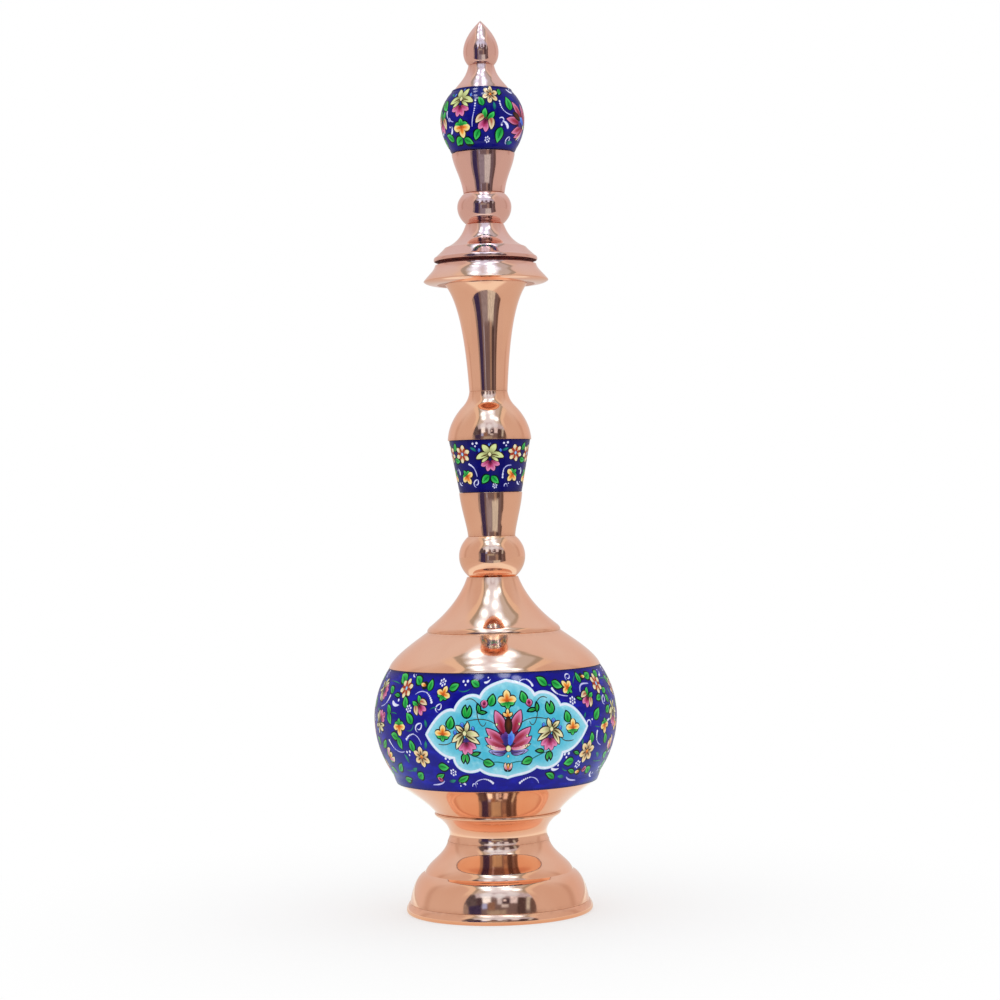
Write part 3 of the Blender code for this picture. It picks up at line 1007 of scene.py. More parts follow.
# Motifs in mm, drawn with their tip upwards: (brush, width, path). A path of one point is a dot
capStrokes = [
    *both("cap", 2.8, [(0.2, -1.4), (-1.4, -2.9), (-3.5, -2.2)]), ("cap", 3.2, [(0, -1.2), (0, -4.9)]),
]
flakeTurns = (0.2, 1.25, 2.3, 3.35, 4.4, 5.45)
motifs = {
    "leaf": [
        ("leaf", 4.7, [(0, -2.9), (0.6, -0.4), (0, 3.2)]),
        ("vein", 0.42, [(0, -2.2), (0.3, -0.2), (0.1, 1.4)]),
    ],
    "slimLeaf": [
        ("leaf", 3.6, [(0, -3.5), (0.9, -0.2), (-0.2, 3.5)]), ("vein", 0.34, [(0, -2.6), (0.6, 0), (0, 2.0)]),
    ],
    "heartLeaf": both("leaf", 3.3, [(0.1, -3.3), (-1.7, -0.5), (-0.9, 3.0)]),
    "sprig": [("sprig", 1.7, [(0, -2.0), (0.5, 0), (0, 2.1)])],
    "pansy": [
        *capStrokes,
        *both("bloom", 4.2, [(0.1, -1.0), (-1.9, -0.4), (-4.4, -0.8)]),
        ("bloom", 4.2, [(0, -1.2), (0, 0.8), (0, 3.7)]),
        ("ember", 2.0, [(0, -1.7), (0, 2.0)]),
        *both("ember", 1.3, [(0, -1.3), (-1.0, -0.5), (-2.8, -0.8)]),
    ],
    "lily": [
        ("blue", 2.0, [(0.9, 2.3), (0.9, 4.7)]), ("blue", 1.7, [(-3.9, 0.4), (-3.6, 2.9)]),
        ("blue", 1.8, [(4.3, -0.8), (4.2, 1.6)]), ("dusk", 3.4, [(-0.5, -1.8), (-0.5, -5.4)]),
        ("bell", 3.2, [(-0.9, -3.6), (-2.6, -5.3), (-4.5, -6.8)]),
        ("bell", 3.0, [(0.3, -3.6), (1.6, -5.7), (3.2, -7.2)]),
        ("bell", 3.3, [(-0.6, -3.7), (-1.3, -6.2), (-2.2, -9.0)]),
        ("bell", 3.3, [(-0.2, -3.7), (0.4, -6.4), (0.8, -9.2)]),
        ("throat", 2.8, [(-0.4, -3.8), (-0.5, -7.0)]),
        ("lily", 3.1, [(0.3, -0.6), (-3.0, -2.2), (-6.4, -5.0)]),
        ("lily", 3.0, [(0.4, -0.6), (2.6, -3.2), (4.5, -6.8)]),
        ("lily", 3.5, [(0.1, -0.1), (-3.0, 0.4), (-6.3, -1.6)]),
        ("lily", 3.4, [(0.2, -0.2), (3.0, -0.9), (6.1, -3.8)]),
        ("lily", 2.8, [(-0.1, 0.1), (-1.3, 2.0), (-1.7, 4.9)]),
        ("lily", 2.9, [(0.2, 0.1), (1.7, 1.9), (4.0, 3.4)]),
        ("shade", 0.8, [(-0.4, -0.9), (-2.6, -2.2), (-4.6, -3.5)]),
        ("shade", 0.8, [(0.7, -1.0), (2.3, -3.0), (3.4, -4.9)]),
        ("shade", 0.8, [(0.8, -0.3), (2.6, -0.9), (4.2, -2.3)]),
        ("shade", 0.6, [(0.4, 0.6), (1.5, 1.6), (2.5, 2.2)]),
        ("pale", 2.1, [(0, 0)]),
    ],
    "star": [
        ("blue", 1.7, [(-5.0, 1.0), (-4.6, 3.2)]), ("blue", 1.7, [(5.2, 0.4), (5.0, 2.6)]),
        ("blue", 1.5, [(0, 3.6), (0, 5.4)]),
        *both("bell", 3.4, [(-0.4, -3.0), (-2.4, -4.4), (-4.6, -5.4)]),
        *both("bell", 3.4, [(-0.3, -3.2), (-0.9, -5.6), (-1.6, -8.2)]),
        ("throat", 2.6, [(0, -3.2), (0, -6.4)]),
        *both("wing", 2.6, [(-0.2, -0.8), (-2.2, -2.2), (-4.4, -3.8)]),
        *both("wing", 4.0, [(0.0, -0.2), (-3.0, 0.6), (-6.8, -2.0)]),
        *both("wing", 4.0, [(-0.1, 0.0), (-1.2, 2.2), (-3.2, 4.9)]),
        *both("shade", 0.7, [(-0.9, -0.2), (-2.6, -0.2), (-4.4, -1.2)]), ("pale", 2.1, [(0, 0)]),
    ],
    "fuchsia": [
        *both("bell", 3.3, [(0.1, 2.6), (-1.0, 4.6), (-1.7, 7.3)]), ("throat", 2.3, [(0, 2.2), (0, 5.8)]),
        *both("redCream", 3.7, [(-0.4, 0.6), (-2.9, 1.4), (-3.7, 5.6)]), ("shade", 0.9, [(0, 1.2), (0, 3.6)]),
        *both("cap", 3.2, [(0, 1.9), (-1.9, 0.8), (-2.0, -2.2)]),
    ],
    "rosette": [
        *wheelOf("wheel", 6, 3.5, 0.5, 4.7, 15), *wheelOf("rib", 6, 1.3, 0.7, 3.5, 42),
        ("iceBlue", 2.0, [(0, 0)]),
    ],
    "daisy": [
        *wheelOf("daisy", 6, 3.7, 0.1, 4.9, 10), *wheelOf("umber", 6, 0.6, 0.7, 2.8, 10),
        ("ember", 1.7, [(0, 0)]),
    ],
    "bud": [
        ("leaf", 1.7, [(0, -2.6), (-1.5, -1.6), (-1.7, 0.5)]),
        ("leaf", 1.7, [(0, -2.6), (1.5, -1.6), (1.7, 0.5)]),
        ("bloom", 3.1, [(0, -1.9), (0, 2.4)]), ("ember", 1.2, [(0, -1.5), (0, 0.8)]),
    ],
    "pinkBud": [("bell", 3.6, [(0, -1.7), (0, 1.9)]), ("throat", 1.7, [(0, -0.3), (0, 1.6)])],
    "tulip": [
        *both("leaf", 1.9, [(0, -3.4), (-2.4, -2.6), (-3.0, 0.4)]),
        *both("blush", 2.9, [(0, -2.4), (-3.0, -0.6), (-2.0, 3.4)]), ("bloom", 3.0, [(0, -2.4), (0, 3.0)]),
        ("ember", 1.4, [(0, -2.0), (0, 1.2)]),
    ],
    "lotus": [
        ("heart", 9.0, [(0, -5.6), (0, 6.6)]),
        *both("heart", 5.6, [(-0.6, -2.8), (-4.6, -2.6), (-8.0, -0.4)]),
        *both("violet", 3.0, [(-0.6, -5.2), (-4.4, -6.2), (-8.6, -4.9)]),
        *both("blush", 2.7, [(-0.4, -3.8), (-4.0, -4.8), (-9.6, -2.4)]),
        *both("lotus", 4.3, [(-1.2, -3.4), (-5.8, -3.0), (-10.0, 0.9)]),
        *both("lotus", 4.7, [(-1.6, -1.8), (-5.2, 0.4), (-9.6, 4.8)]),
        *both("lotus", 5.0, [(-1.9, 1.8), (-3.0, 6.8), (-5.6, 12.0)]),
        ("umber", 3.4, [(0, 1.8), (0, 9.4)]), ("dusk", 5.2, [(-1.2, -2.9), (-1.2, 3.0)]),
        ("blue", 4.4, [(0.6, -3.1), (0.6, 3.7)]), ("pale", 2.6, [(-0.1, -4.1)]),
    ],
    "snowflake": [
        ("white", 0.85, [(0, 0)]),
        *[("white", 1.1, [(1.35 * math.sin(turn), 1.35 * math.cos(turn))]) for turn in flakeTurns],
    ],
    "threeDots": [("white", 1.2, [(-1.0, 0.6)]), ("white", 1.3, [(1.1, 0.8)]), ("white", 1.0, [(0.2, -0.8)])],
    "comma": [("comma", 1.2, [(-2.0, 0.5), (-0.8, -1.0), (2.0, 0.3)]), ("white", 0.9, [(1.0, 1.5)])],
    "ringDrop": [
        ("comma", 0.85, [(1.4, 2.3), (-2.6, 1.6), (-2.3, -2.2), (0.2, -2.4)]),
        ("comma", 0.75, [(1.4, 2.3), (2.6, -0.2), (0.4, -2.0), (-0.6, -0.4)]),
    ],
    "swirl": [
        ("comma", 0.8, [(-1.6, -1.2), (-2.3, 1.8), (1.9, 2.4), (1.1, -1.8)]), ("white", 1.0, [(2.3, 1.2)]),
    ],
}


class Ground:
    # A band told by the arc round its front, measured at one radius, and by height
    def __init__(self, line, reach):
        self.line = line
        self.reach = reach
        self.slope = np.gradient(line[:, 0], line[:, 1])

    def at(self, arc, height, lift):
        # The point at radius(height), moved by lift along the line's normal, then turned by arc / reach
        radius = np.interp(height, self.line[:, 1], self.line[:, 0])
        slope = np.interp(height, self.line[:, 1], self.slope)
        length = np.sqrt(1 + slope**2)
        outward = radius + lift / length
        turn = arc / self.reach
        return np.stack([outward * np.sin(turn), -outward * np.cos(turn), height - lift * slope / length], -1)


def fadeBetween(first, second, share):
    share = np.asarray(share)[..., None]
    return np.asarray(first) * (1 - share) + np.asarray(second) * share


class Canvas:
    # Gathers the lenses of one band, then makes them one painted mesh
    def __init__(self, ground, start=0.0):
        self.ground = ground
        self.start = start
        self.points, self.paint, self.quads, self.triangles = [], [], [], []
        self.count = 0
        self.hand = np.random.default_rng(5)

    def laid(self, flat, lift):
        return self.ground.at(self.start + flat[..., 0], flat[..., 1], lift)

    def keep(self, points, paint, quads, triangles, mottle=0.0):
        points, paint = points.reshape(-1, 3), paint.reshape(-1, 3)
        self.quads.append(quads.reshape(-1, 4) + self.count)
        self.triangles.append(triangles.reshape(-1, 3) + self.count)
        self.points.append(points)
        self.paint.append(np.hstack([paint, np.full((len(paint), 1), mottle)]))
        self.count += len(points)

    def stroke(self, brush, width, path, layer=0, rows=12, columns=9):
        # Half width = width / 2 * sin(pi * u ** lean) ** blunt along a Bezier path, u from 0 to 1.
        # Lift = layer + crown * (1 - v ** 2) with v from -1 to 1 across, and a pole of one point at each end
        own = paintPlan
        lean, blunt, base, core, rim, line, lineWidth, streak = brushes[brush]
        u = (1 - np.cos(np.linspace(0, np.pi, rows))) / 2
        curve = bend(path, rows * 4)
        ahead = np.gradient(curve, axis=0)
        ahead /= np.maximum(np.linalg.norm(ahead, axis=1), 1e-9)[:, None]
        spots = np.linspace(0, 1, len(curve))
        middle = np.stack([np.interp(u, spots, curve[:, axis]) for axis in (0, 1)], 1)
        ahead = np.stack([np.interp(u, spots, ahead[:, axis]) for axis in (0, 1)], 1)
        half = width / 2 * np.sin(np.pi * u**lean).clip(0) ** blunt
        fill = 1 - np.minimum(lineWidth / np.maximum(half, 1e-6), own["outlineMost"])
        spread = np.linspace(-1, 1, columns - 4)
        across = spread * np.maximum(fill - own["coreInset"], 0.01)[:, None]
        ones = np.ones((rows, 1))
        v = np.hstack([-ones, -fill[:, None], across, fill[:, None], ones])
        right = np.stack([ahead[:, 1], -ahead[:, 0]], 1)
        flat = middle[:, None] + v[..., None] * half[:, None, None] * right[:, None]
        crown = own["crown"] * min(1.0, width / own["fullWidth"])
        lift = own["under"] + layer * own["layer"] + crown * (1 - v**2)
        along = np.clip((u - own["baseFade"][0]) / own["baseFade"][1], 0, 1)
        tip = np.clip((u - own["tipFade"][0]) / own["tipFade"][1], 0, 1)[:, None] ** own["tipPower"]
        inside = fadeBetween(shades[core], shades[rim], 1 - (1 - np.abs(spread) ** streak) * (1 - tip))
        filled = np.asarray(shades[base]) * (1 - along[:, None, None]) + inside * along[:, None, None]
        edge = np.broadcast_to(np.asarray(shades[line]), (rows, 2, 3))
        colours = np.concatenate([edge, filled, edge], 1)
        colours = np.where((fill < own["outlineOnly"])[:, None, None], np.asarray(shades[line]), colours)
        points = self.laid(flat, lift)
        floor = self.laid(middle[1:-1], np.zeros(rows - 2))
        points = np.vstack([points[0, :1], points[1:-1].reshape(-1, 3), points[-1, :1], floor])
        colours = np.vstack([colours[0, :1], colours[1:-1].reshape(-1, 3), colours[-1, :1], colours[1:-1, 0]])
        grid = 1 + np.arange((rows - 2) * columns).reshape(rows - 2, columns)
        last = 1 + grid.size
        below = np.stack([grid[:, -1], last + 1 + np.arange(rows - 2), grid[:, 0]], 1)
        quads, fans = [], []
        for rank in (grid, below):
            corners = [rank[:-1, :-1], rank[:-1, 1:], rank[1:, 1:], rank[1:, :-1]]
            quads.append(np.stack(corners, -1).reshape(-1, 4))
            poles = np.zeros(rank.shape[1] - 1, int)
            fans.append(np.stack([poles, rank[0, 1:], rank[0, :-1]], -1))
            fans.append(np.stack([rank[-1, :-1], rank[-1, 1:], poles + last], -1))
        self.keep(points, colours, np.vstack(quads), np.vstack(fans))

    def dot(self, brush, spot, radius, layer=0):
        x, z = spot
        self.stroke(brush, 2 * radius, [(x, z - radius), (x, z + radius)], layer, 7, 7)

    def draw(self, strokes, arc=0.0, height=0.0, turn=0.0, size=1.0, layer=0):
        # A negative size gives the mirror image. Each stroke lies a little above the one before it
        c, s = math.cos(math.radians(turn)), math.sin(math.radians(turn))
        for index, (brush, width, path) in enumerate(strokes):
            flat = np.array(path, float) * (size, abs(size))
            placed = flat @ np.array([[c, s], [-s, c]]) + (arc, height)
            above = layer + index * paintPlan["strokeLayers"] + paintPlan["detailLayers"] * (brush in details)
            if len(path) == 1:
                self.dot(brush, placed[0], width * abs(size) / 2, above)
            else:
                self.stroke(brush, width * abs(size), placed, above)

    def scatter(self, layout, layer=1):
        # Motifs by kind at (arc, height, turn, size), each with a little of the hand's own drift
        for motif, spots in layout.items():
            for arc, height, turn, size in spots:
                drift = self.hand.uniform(-1, 1, 2)
                turn += drift[0] * paintPlan["turnSpread"]
                size *= 1 + drift[1] * paintPlan["sizeSpread"]
                self.draw(motifs[motif], arc, height, turn, size, layer)

    def dotted(self, paths, layer=1, dots=7, big=0.62):
        # A thread that starts from nothing, then dots that grow towards the end of the path
        small = paintPlan["firstDot"]
        for path in paths:
            line = bend(path, 40)
            self.stroke("thread", paintPlan["threadWidth"], line[:25:6], layer, 10, 7)
            for index, spot in enumerate(line[np.linspace(23, 40, dots).astype(int)]):
                self.dot("white", spot, small + (big - small) * index / (dots - 1), layer)

    def hoop(self, path, width, core, rim, layer=0):
        # A closed band of paint along a ring of points, rounded across
        ahead = np.roll(path, -2, axis=0) - np.roll(path, 2, axis=0)
        ahead /= np.linalg.norm(ahead, axis=1)[:, None]
        right = np.stack([ahead[:, 1], -ahead[:, 0]], 1)
        v = np.array([-1, -0.75, -0.35, 0.35, 0.75, 1])
        flat = path[:, None] + v[None, :, None] * width / 2 * right[:, None]
        lift = paintPlan["under"] + layer * paintPlan["layer"] + paintPlan["crown"] * (1 - v**2)
        points = self.laid(flat, np.broadcast_to(lift, flat.shape[:2]))
        colours = fadeBetween(shades[core], shades[rim], np.broadcast_to(np.abs(v) ** 3, flat.shape[:2]))
        grid = np.arange(flat.shape[0] * len(v)).reshape(-1, len(v))
        after = np.roll(grid, -1, axis=0)
        quads = np.stack([grid[:, :-1], grid[:, 1:], after[:, 1:], after[:, :-1]], -1).reshape(-1, 4)
        under = np.stack([grid[:, -1], grid[:, 0], after[:, 0], after[:, -1]], -1)
        self.keep(points, colours, np.vstack([quads, under]), np.empty((0, 3), int))

    def field(self, centre, ring, core, rim):
        # A thin slab inside a ring of points that runs anticlockwise, in steps from its centre outwards
        count = len(ring)
        share = np.linspace(0, 1, 28)[1:]
        flat = np.asarray(centre) + share[:, None, None] * (ring - centre)[None]
        flat = np.vstack([np.broadcast_to(np.asarray(centre, float), (1, 2)), flat.reshape(-1, 2)])
        weight = np.concatenate([[0.0], np.repeat(share**8, count)])
        tints = fadeBetween(shades[core], shades[rim], weight)
        grid = 1 + np.arange(len(share) * count).reshape(-1, count)
        after = np.roll(grid, -1, axis=1)
        quads = np.stack([grid[:-1], grid[1:], after[1:], after[:-1]], -1).reshape(-1, 4)
        fans = np.stack([0 * grid[0], grid[0], after[0]], -1)
        sheets = [self.laid(flat, lift) for lift in (paintPlan["fieldLift"], 0.0)]
        lower = len(flat)
        edge = np.stack([grid[-1], lower + grid[-1], lower + after[-1], after[-1]], -1)
        quads = np.vstack([quads, quads[:, ::-1] + lower, edge])
        fans = np.vstack([fans, fans[:, ::-1] + lower])
        self.keep(np.vstack(sheets), np.vstack([tints, tints]), quads, fans, 1.0)

    def finish(self, name, body):
        faces = np.vstack(self.quads).tolist() + np.vstack(self.triangles).tolist()
        piece = meshFrom(name, np.vstack(self.points), faces)
        layer = piece.data.color_attributes.new("paint", "FLOAT_COLOR", "POINT")
        layer.data.foreach_set("color", np.vstack(self.paint).astype(np.float32).ravel())
        piece.data.set_sharp_from_angle(angle=math.radians(50))
        piece.data.materials.append(paintedEnamel)
        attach(piece, body)
        print("painted", name, len(faces), "faces")


# The body's pattern fills half of the way round and is painted twice
medallion = {
    "centre": 5.4,
    "right": [
        [(0.0, 106.8), (7.0, 105.6), (11.5, 104.2), (12.7, 100.2)],
        [(12.7, 100.2), (15.5, 102.6), (23.0, 101.6), (24.8, 95.4)],
        [(24.8, 95.4), (31.0, 97.2), (36.0, 89.5), (39.4, 85.4)],
        [(39.4, 85.4), (35.5, 78.5), (31.0, 75.0), (26.1, 75.0)],
        [(26.1, 75.0), (26.5, 69.5), (19.5, 67.0), (13.8, 69.4)],
        [(13.8, 69.4), (9.5, 65.8), (4.5, 66.8), (0.0, 64.9)],
    ],
    "border": 1.35,
    "leftWidth": 0.945,
    "leftDrop": 0.035,
    "middle": (0.0, 85.2),
}

# Kinds and places as on the front of the part, in mm from the medallion's middle line
medallionVines = {
    "upper": [
        ("stem", 0.42, [(5.6, 88.6), (9.0, 91.6), (14.0, 91.0), (18.4, 89.8)]),
        ("stem", 0.42, [(13.4, 97.2), (14.0, 91.0), (11.0, 84.5), (9.4, 89.6)]),
        ("stem", 0.42, [(13.3, 97.4), (15.6, 100.6), (18.6, 98.8)]),
        ("stem", 0.42, [(24.6, 81.4), (27.0, 79.0), (31.6, 80.0)]),
    ],
    "lower": [
        ("tendril", 0.5, [(9.0, 71.6), (13.0, 74.6), (19.0, 76.0)]),
        ("tendril", 0.5, [(-0.4, 70.6), (4.0, 72.8), (8.6, 71.8)]),
    ],
}

medallionLayout = {
    "pansy": [(0.0, 99.4, 0, 0.93), (30.7, 86.2, 0, 0.88), (-29.0, 85.2, 0, 0.88)],
    "leaf": [
        (7.2, 99.6, 12, 0.95), (-7.0, 98.8, -14, 0.9), (27.6, 90.3, 8, 0.95), (-25.6, 89.2, -12, 0.95),
        (8.8, 71.9, 105, 0.9), (-8.8, 71.9, -105, 0.9),
    ],
    "heartLeaf": [
        (19.4, 94.9, 4, 0.98), (-17.8, 94.2, -6, 0.98), (19.2, 73.6, 188, 0.8), (-19.4, 73.6, 172, 0.8),
    ],
    "slimLeaf": [
        (10.6, 93.9, 100, 0.66), (13.0, 95.4, -8, 0.72), (-10.8, 93.9, -100, 0.66), (-12.9, 95.4, 8, 0.72),
        (14.3, 76.1, 82, 0.7), (-14.3, 76.1, -82, 0.7),
    ],
    "pinkBud": [(9.8, 97.0, 8, 1.0), (-10.2, 97.0, -8, 1.0)],
    "lily": [(19.6, 85.5, 0, 1.04), (-18.9, 84.8, 0, -1.02)],
    "lotus": [(0.2, 82.2, 0, 1.06)],
    "tulip": [(0.0, 69.8, 0, 0.6)],
}
medallionHeart = [
    *both("bloom", 2.2, [(0, 91.4), (-0.9, 92.2), (-2.1, 93.4)]), ("bloom", 2.3, [(0, 91.2), (0, 95.2)]),
    ("ember", 1.3, [(0, 91.0), (0, 93.6)]),
    *mirrored([("pale", 1.3, [(4.9, 88.4)]), ("pale", 1.3, [(8.3, 83.2)]), ("pale", 1.2, [(8.1, 78.9)])]),
    *both("violet", 1.7, [(1.2, 76.0), (3.6, 74.4), (7.6, 76.8)]), ("pale", 1.3, [(0, 74.6)]),
]

bodyLayout = {
    "leaf": [
        (22.8, 105.7, 55, 1.0), (30.6, 104.3, -115, 0.98), (44.6, 106.3, 8, 0.82), (52.2, 106.9, -70, 0.95),
        (51.8, 90.3, -45, 1.08), (55.6, 96.6, 105, 0.85), (48.5, 80.0, 12, 0.88), (36.3, 70.0, 100, 1.0),
        (52.6, 65.2, 60, 0.92), (60.6, 78.6, 20, 0.95), (62.4, 91.6, -60, 0.9), (63.6, 96.0, 35, 0.8),
        (62.8, 99.8, -80, 0.8), (61.2, 107.2, -75, 0.85), (70.2, 66.4, -55, 1.0), (66.0, 70.6, 70, 0.9),
        (80.8, 104.8, -60, 1.0), (72.4, 103.6, 50, 0.9), (79.0, 92.2, 30, 0.95), (78.4, 68.4, 20, 0.9),
        (-51.2, 107.0, 58, 1.12), (-39.9, 106.6, 50, 1.0), (-32.0, 105.0, -12, 0.95),
        (-58.2, 102.0, 50, 0.88), (-45.3, 97.3, 18, 1.0), (-57.3, 93.6, 28, 0.9), (-55.9, 89.9, -152, 1.0),
        (-41.6, 90.4, 40, 1.05), (-52.4, 82.1, 75, 1.0), (-48.7, 79.4, -168, 1.0), (-41.3, 78.6, 12, 1.0),
        (-19.2, 104.6, -62, 0.95), (-9.3, 105.6, 60, 0.85), (-25.4, 70.0, -100, 0.98),
        (-41.2, 65.4, -60, 0.95), (-77.6, 95.4, -30, 1.0), (-79.6, 74.6, 110, 1.0), (-80.2, 106.2, 70, 0.9),
        (-72.6, 64.6, -75, 0.9), (-71.6, 78.8, 40, 0.9),
    ],
    "slimLeaf": [
        (27.2, 64.6, 66, 1.02), (39.6, 65.6, 72, 0.86), (39.6, 73.9, 72, 0.72), (41.2, 97.4, 70, 0.62),
        (-52.1, 99.8, 84, 0.78), (-63.6, 78.3, -56, 1.05), (-55.0, 68.3, -60, 1.05), (-53.0, 62.9, -84, 1.05),
        (-16.4, 64.8, -66, 1.0), (-28.6, 65.8, -72, 0.85), (74.8, 62.8, 84, 1.0), (-64.6, 66.2, 70, 0.9),
    ],
    "sprig": [
        (34.0, 63.6, 80, 1.1), (42.8, 78.6, -165, 0.8), (43.4, 90.2, -25, 0.7), (-46.6, 72.6, 25, 1.1),
        (-33.0, 79.4, -10, 0.95), (-32.2, 88.6, 10, 0.9), (-43.6, 68.0, -70, 1.1), (-22.6, 63.6, -80, 1.0),
        (68.6, 98.6, 30, 0.9), (56.6, 71.6, 60, 1.0), (-69.0, 92.4, 60, 0.9), (26.4, 104.2, -95, 0.55),
    ],
    "pansy": [
        (35.5, 103.1, 42, 0.83), (58.9, 83.9, 192, 0.86), (-48.2, 85.9, 180, 0.95), (-23.9, 101.9, -22, 0.83),
        (72.6, 84.0, 160, 0.85),
    ],
    "fuchsia": [(48.6, 99.3, 137, 0.92), (-37.7, 97.9, -137, 0.92), (-75.4, 70.4, -160, 0.9)],
    "rosette": [(57.4, 102.9, 8, 0.98), (-46.5, 103.2, 0, 0.95), (76.6, 100.2, 20, 0.9)],
    "daisy": [(46.8, 74.1, 0, 1.0), (-36.4, 73.9, 12, 0.98)],
    "bud": [(48.2, 106.5, -85, 0.78), (-35.6, 104.9, 78, 0.85), (44.6, 65.2, 88, 0.8)],
    "pinkBud": [(48.8, 65.9, -80, 0.95), (-61.9, 90.6, -50, 0.95), (-29.0, 64.0, 60, 0.85)],
    "tulip": [(-60.8, 73.0, -62, 1.0), (69.0, 75.6, 30, 1.0)],
    "lily": [(-69.8, 101.8, 84, 0.88), (-67.6, 86.2, 142, 0.86), (69.4, 91.2, 8, 0.92)],
    "lotus": [(85.76, 82.6, 0, 0.86)],
    "snowflake": [
        (37.2, 96.9, 0, 1.0), (42.6, 68.7, 20, 1.0), (-25.3, 106.2, 10, 0.95), (-42.2, 94.7, 0, 1.0),
        (-21.0, 67.4, 0, 0.9), (82.6, 97.2, 0, 1.0), (-77.0, 88.6, 0, 0.95),
    ],
    "threeDots": [
        (34.0, 73.3, 0, 1.0), (-13.9, 106.0, 0, 1.0), (-44.1, 75.1, 0, 1.0), (-22.6, 73.0, 0, 0.9),
        (66.6, 64.6, 0, 1.0), (-84.6, 99.8, 0, 1.0), (84.8, 66.4, 0, 1.0),
    ],
    "comma": [
        (29.2, 67.6, 0, 1.1), (-52.0, 96.2, -10, 1.45), (65.9, 106.6, 30, 0.9), (-17.6, 62.4, 170, 0.9),
        (-3.2, 106.6, 25, 0.85), (-44.0, 108.4, -30, 0.6), (58.8, 62.4, -35, 1.1), (-82.4, 64.0, 20, 1.0),
    ],
    "ringDrop": [
        (37.9, 107.0, -35, 0.72), (59.7, 95.6, 10, 0.85), (-36.1, 86.9, -12, 0.9), (-25.9, 95.5, 0, 0.8),
        (-72.8, 108.0, 60, 0.7), (75.6, 108.0, -50, 0.7),
    ],
    "swirl": [(46.2, 86.8, 0, 0.92), (-11.4, 61.6, 0, 0.6), (82.4, 73.6, 0, 0.9), (-79.2, 82.0, 0, 0.9)],
}
bodyDotted = [
    [(11.4, 105.6), (12.8, 108.4), (17.0, 107.2), (17.8, 104.4)],
    [(22.0, 61.6), (20.8, 65.6), (15.6, 65.6), (11.8, 62.3)],
    [(35.2, 99.0), (31.4, 99.0), (28.6, 100.2), (27.4, 102.5)],
    [(57.4, 76.0), (53.4, 76.2), (52.0, 79.0), (52.4, 82.4)],
    [(-39.6, 100.8), (-36.4, 104.4), (-31.2, 102.0), (-29.6, 97.8)],
    [(-46.6, 75.8), (-50.4, 73.6), (-55.2, 76.4), (-57.6, 80.0)],
    [(-66.4, 94.4), (-62.0, 94.6), (-59.4, 96.6), (-58.2, 99.4)],
    [(-35.2, 79.2), (-35.2, 84.6), (-40.4, 85.2), (-43.8, 81.4)],
    [(68.0, 83.0), (67.0, 86.6), (64.4, 87.6), (61.8, 86.2)],
    [(-11.4, 62.0), (-9.8, 65.2), (-4.6, 65.2), (-2.0, 62.6)],
    [(79.6, 77.8), (78.6, 74.4), (75.0, 71.4), (71.4, 71.6)],
    [(-73.4, 75.6), (-77.0, 76.4), (-79.8, 79.6), (-79.0, 84.2)],
]
bodyThreads = [
    ("thread", 0.75, [(43.0, 100.0), (43.6, 104.6), (47.4, 103.4), (50.8, 103.4)]),
    ("thread", 0.75, [(37.9, 63.4), (40.4, 61.2), (43.0, 61.6), (45.8, 61.2)]),
    ("thread", 0.7, [(-27.2, 63.4), (-29.6, 61.2), (-32.4, 61.6), (-35.2, 61.2)]),
    ("tendril", 0.6, [(39.9, 103.8), (41.0, 105.6), (43.2, 107.4)]),
    ("tendril", 0.6, [(50.2, 85.0), (52.2, 84.2), (54.6, 84.2)]),
    ("tendril", 0.6, [(-43.6, 85.2), (-39.0, 84.4), (-39.0, 88.4)]),
    ("tendril", 0.6, [(-30.2, 94.6), (-28.4, 96.0), (-26.6, 95.6)]),
    ("tendril", 0.6, [(-17.2, 103.2), (-14.4, 101.4), (-11.2, 103.6)]),
    ("tendril", 0.6, [(33.0, 68.0), (35.0, 66.0), (37.0, 66.4)]),
    ("tendril", 0.6, [(-55.0, 92.2), (-52.4, 92.8), (-50.0, 92.0)]),
    ("tendril", 0.7, [(61.4, 104.4), (66.0, 105.2), (71.6, 104.0)]),
    ("tendril", 0.6, [(-50.6, 67.2), (-47.0, 66.6), (-43.0, 67.6)]),
    ("tendril", 0.6, [(53.8, 69.4), (59.0, 68.2), (63.6, 68.8)]),
    ("tendril", 0.6, [(-62.2, 105.6), (-57.0, 105.8), (-53.0, 104.8)]),
]


def paintBody():
    ground = Ground(bodyBandLine(), paintPlan["bodyReach"])
    half = math.pi * paintPlan["bodyReach"]
    for name, start in [("body_paint_front", 0.0), ("body_paint_back", half)]:
        canvas = Canvas(ground, start + medallion["centre"])
        lobes = [bend(lobe, 24)[:-1] for lobe in medallion["right"]]
        right = np.vstack([*lobes, medallion["right"][-1][-1]])
        left = right[1:-1] * (-medallion["leftWidth"], 1) - right[1:-1, :1] * (0, medallion["leftDrop"])
        ring = np.vstack([right[::-1], left])
        canvas.field(medallion["middle"], ring, "turquoise", "ice")
        canvas.hoop(ring, medallion["border"], "white", "ice", 2)
        for vines in medallionVines.values():
            canvas.draw(mirrored(vines), layer=1)
        canvas.scatter(medallionLayout, 2)
        canvas.draw(medallionHeart, layer=5)
        canvas.start = start
        canvas.draw(bodyThreads, layer=0)
        canvas.dotted(bodyDotted)
        canvas.scatter(bodyLayout)
        canvas.finish(name, "vessel")


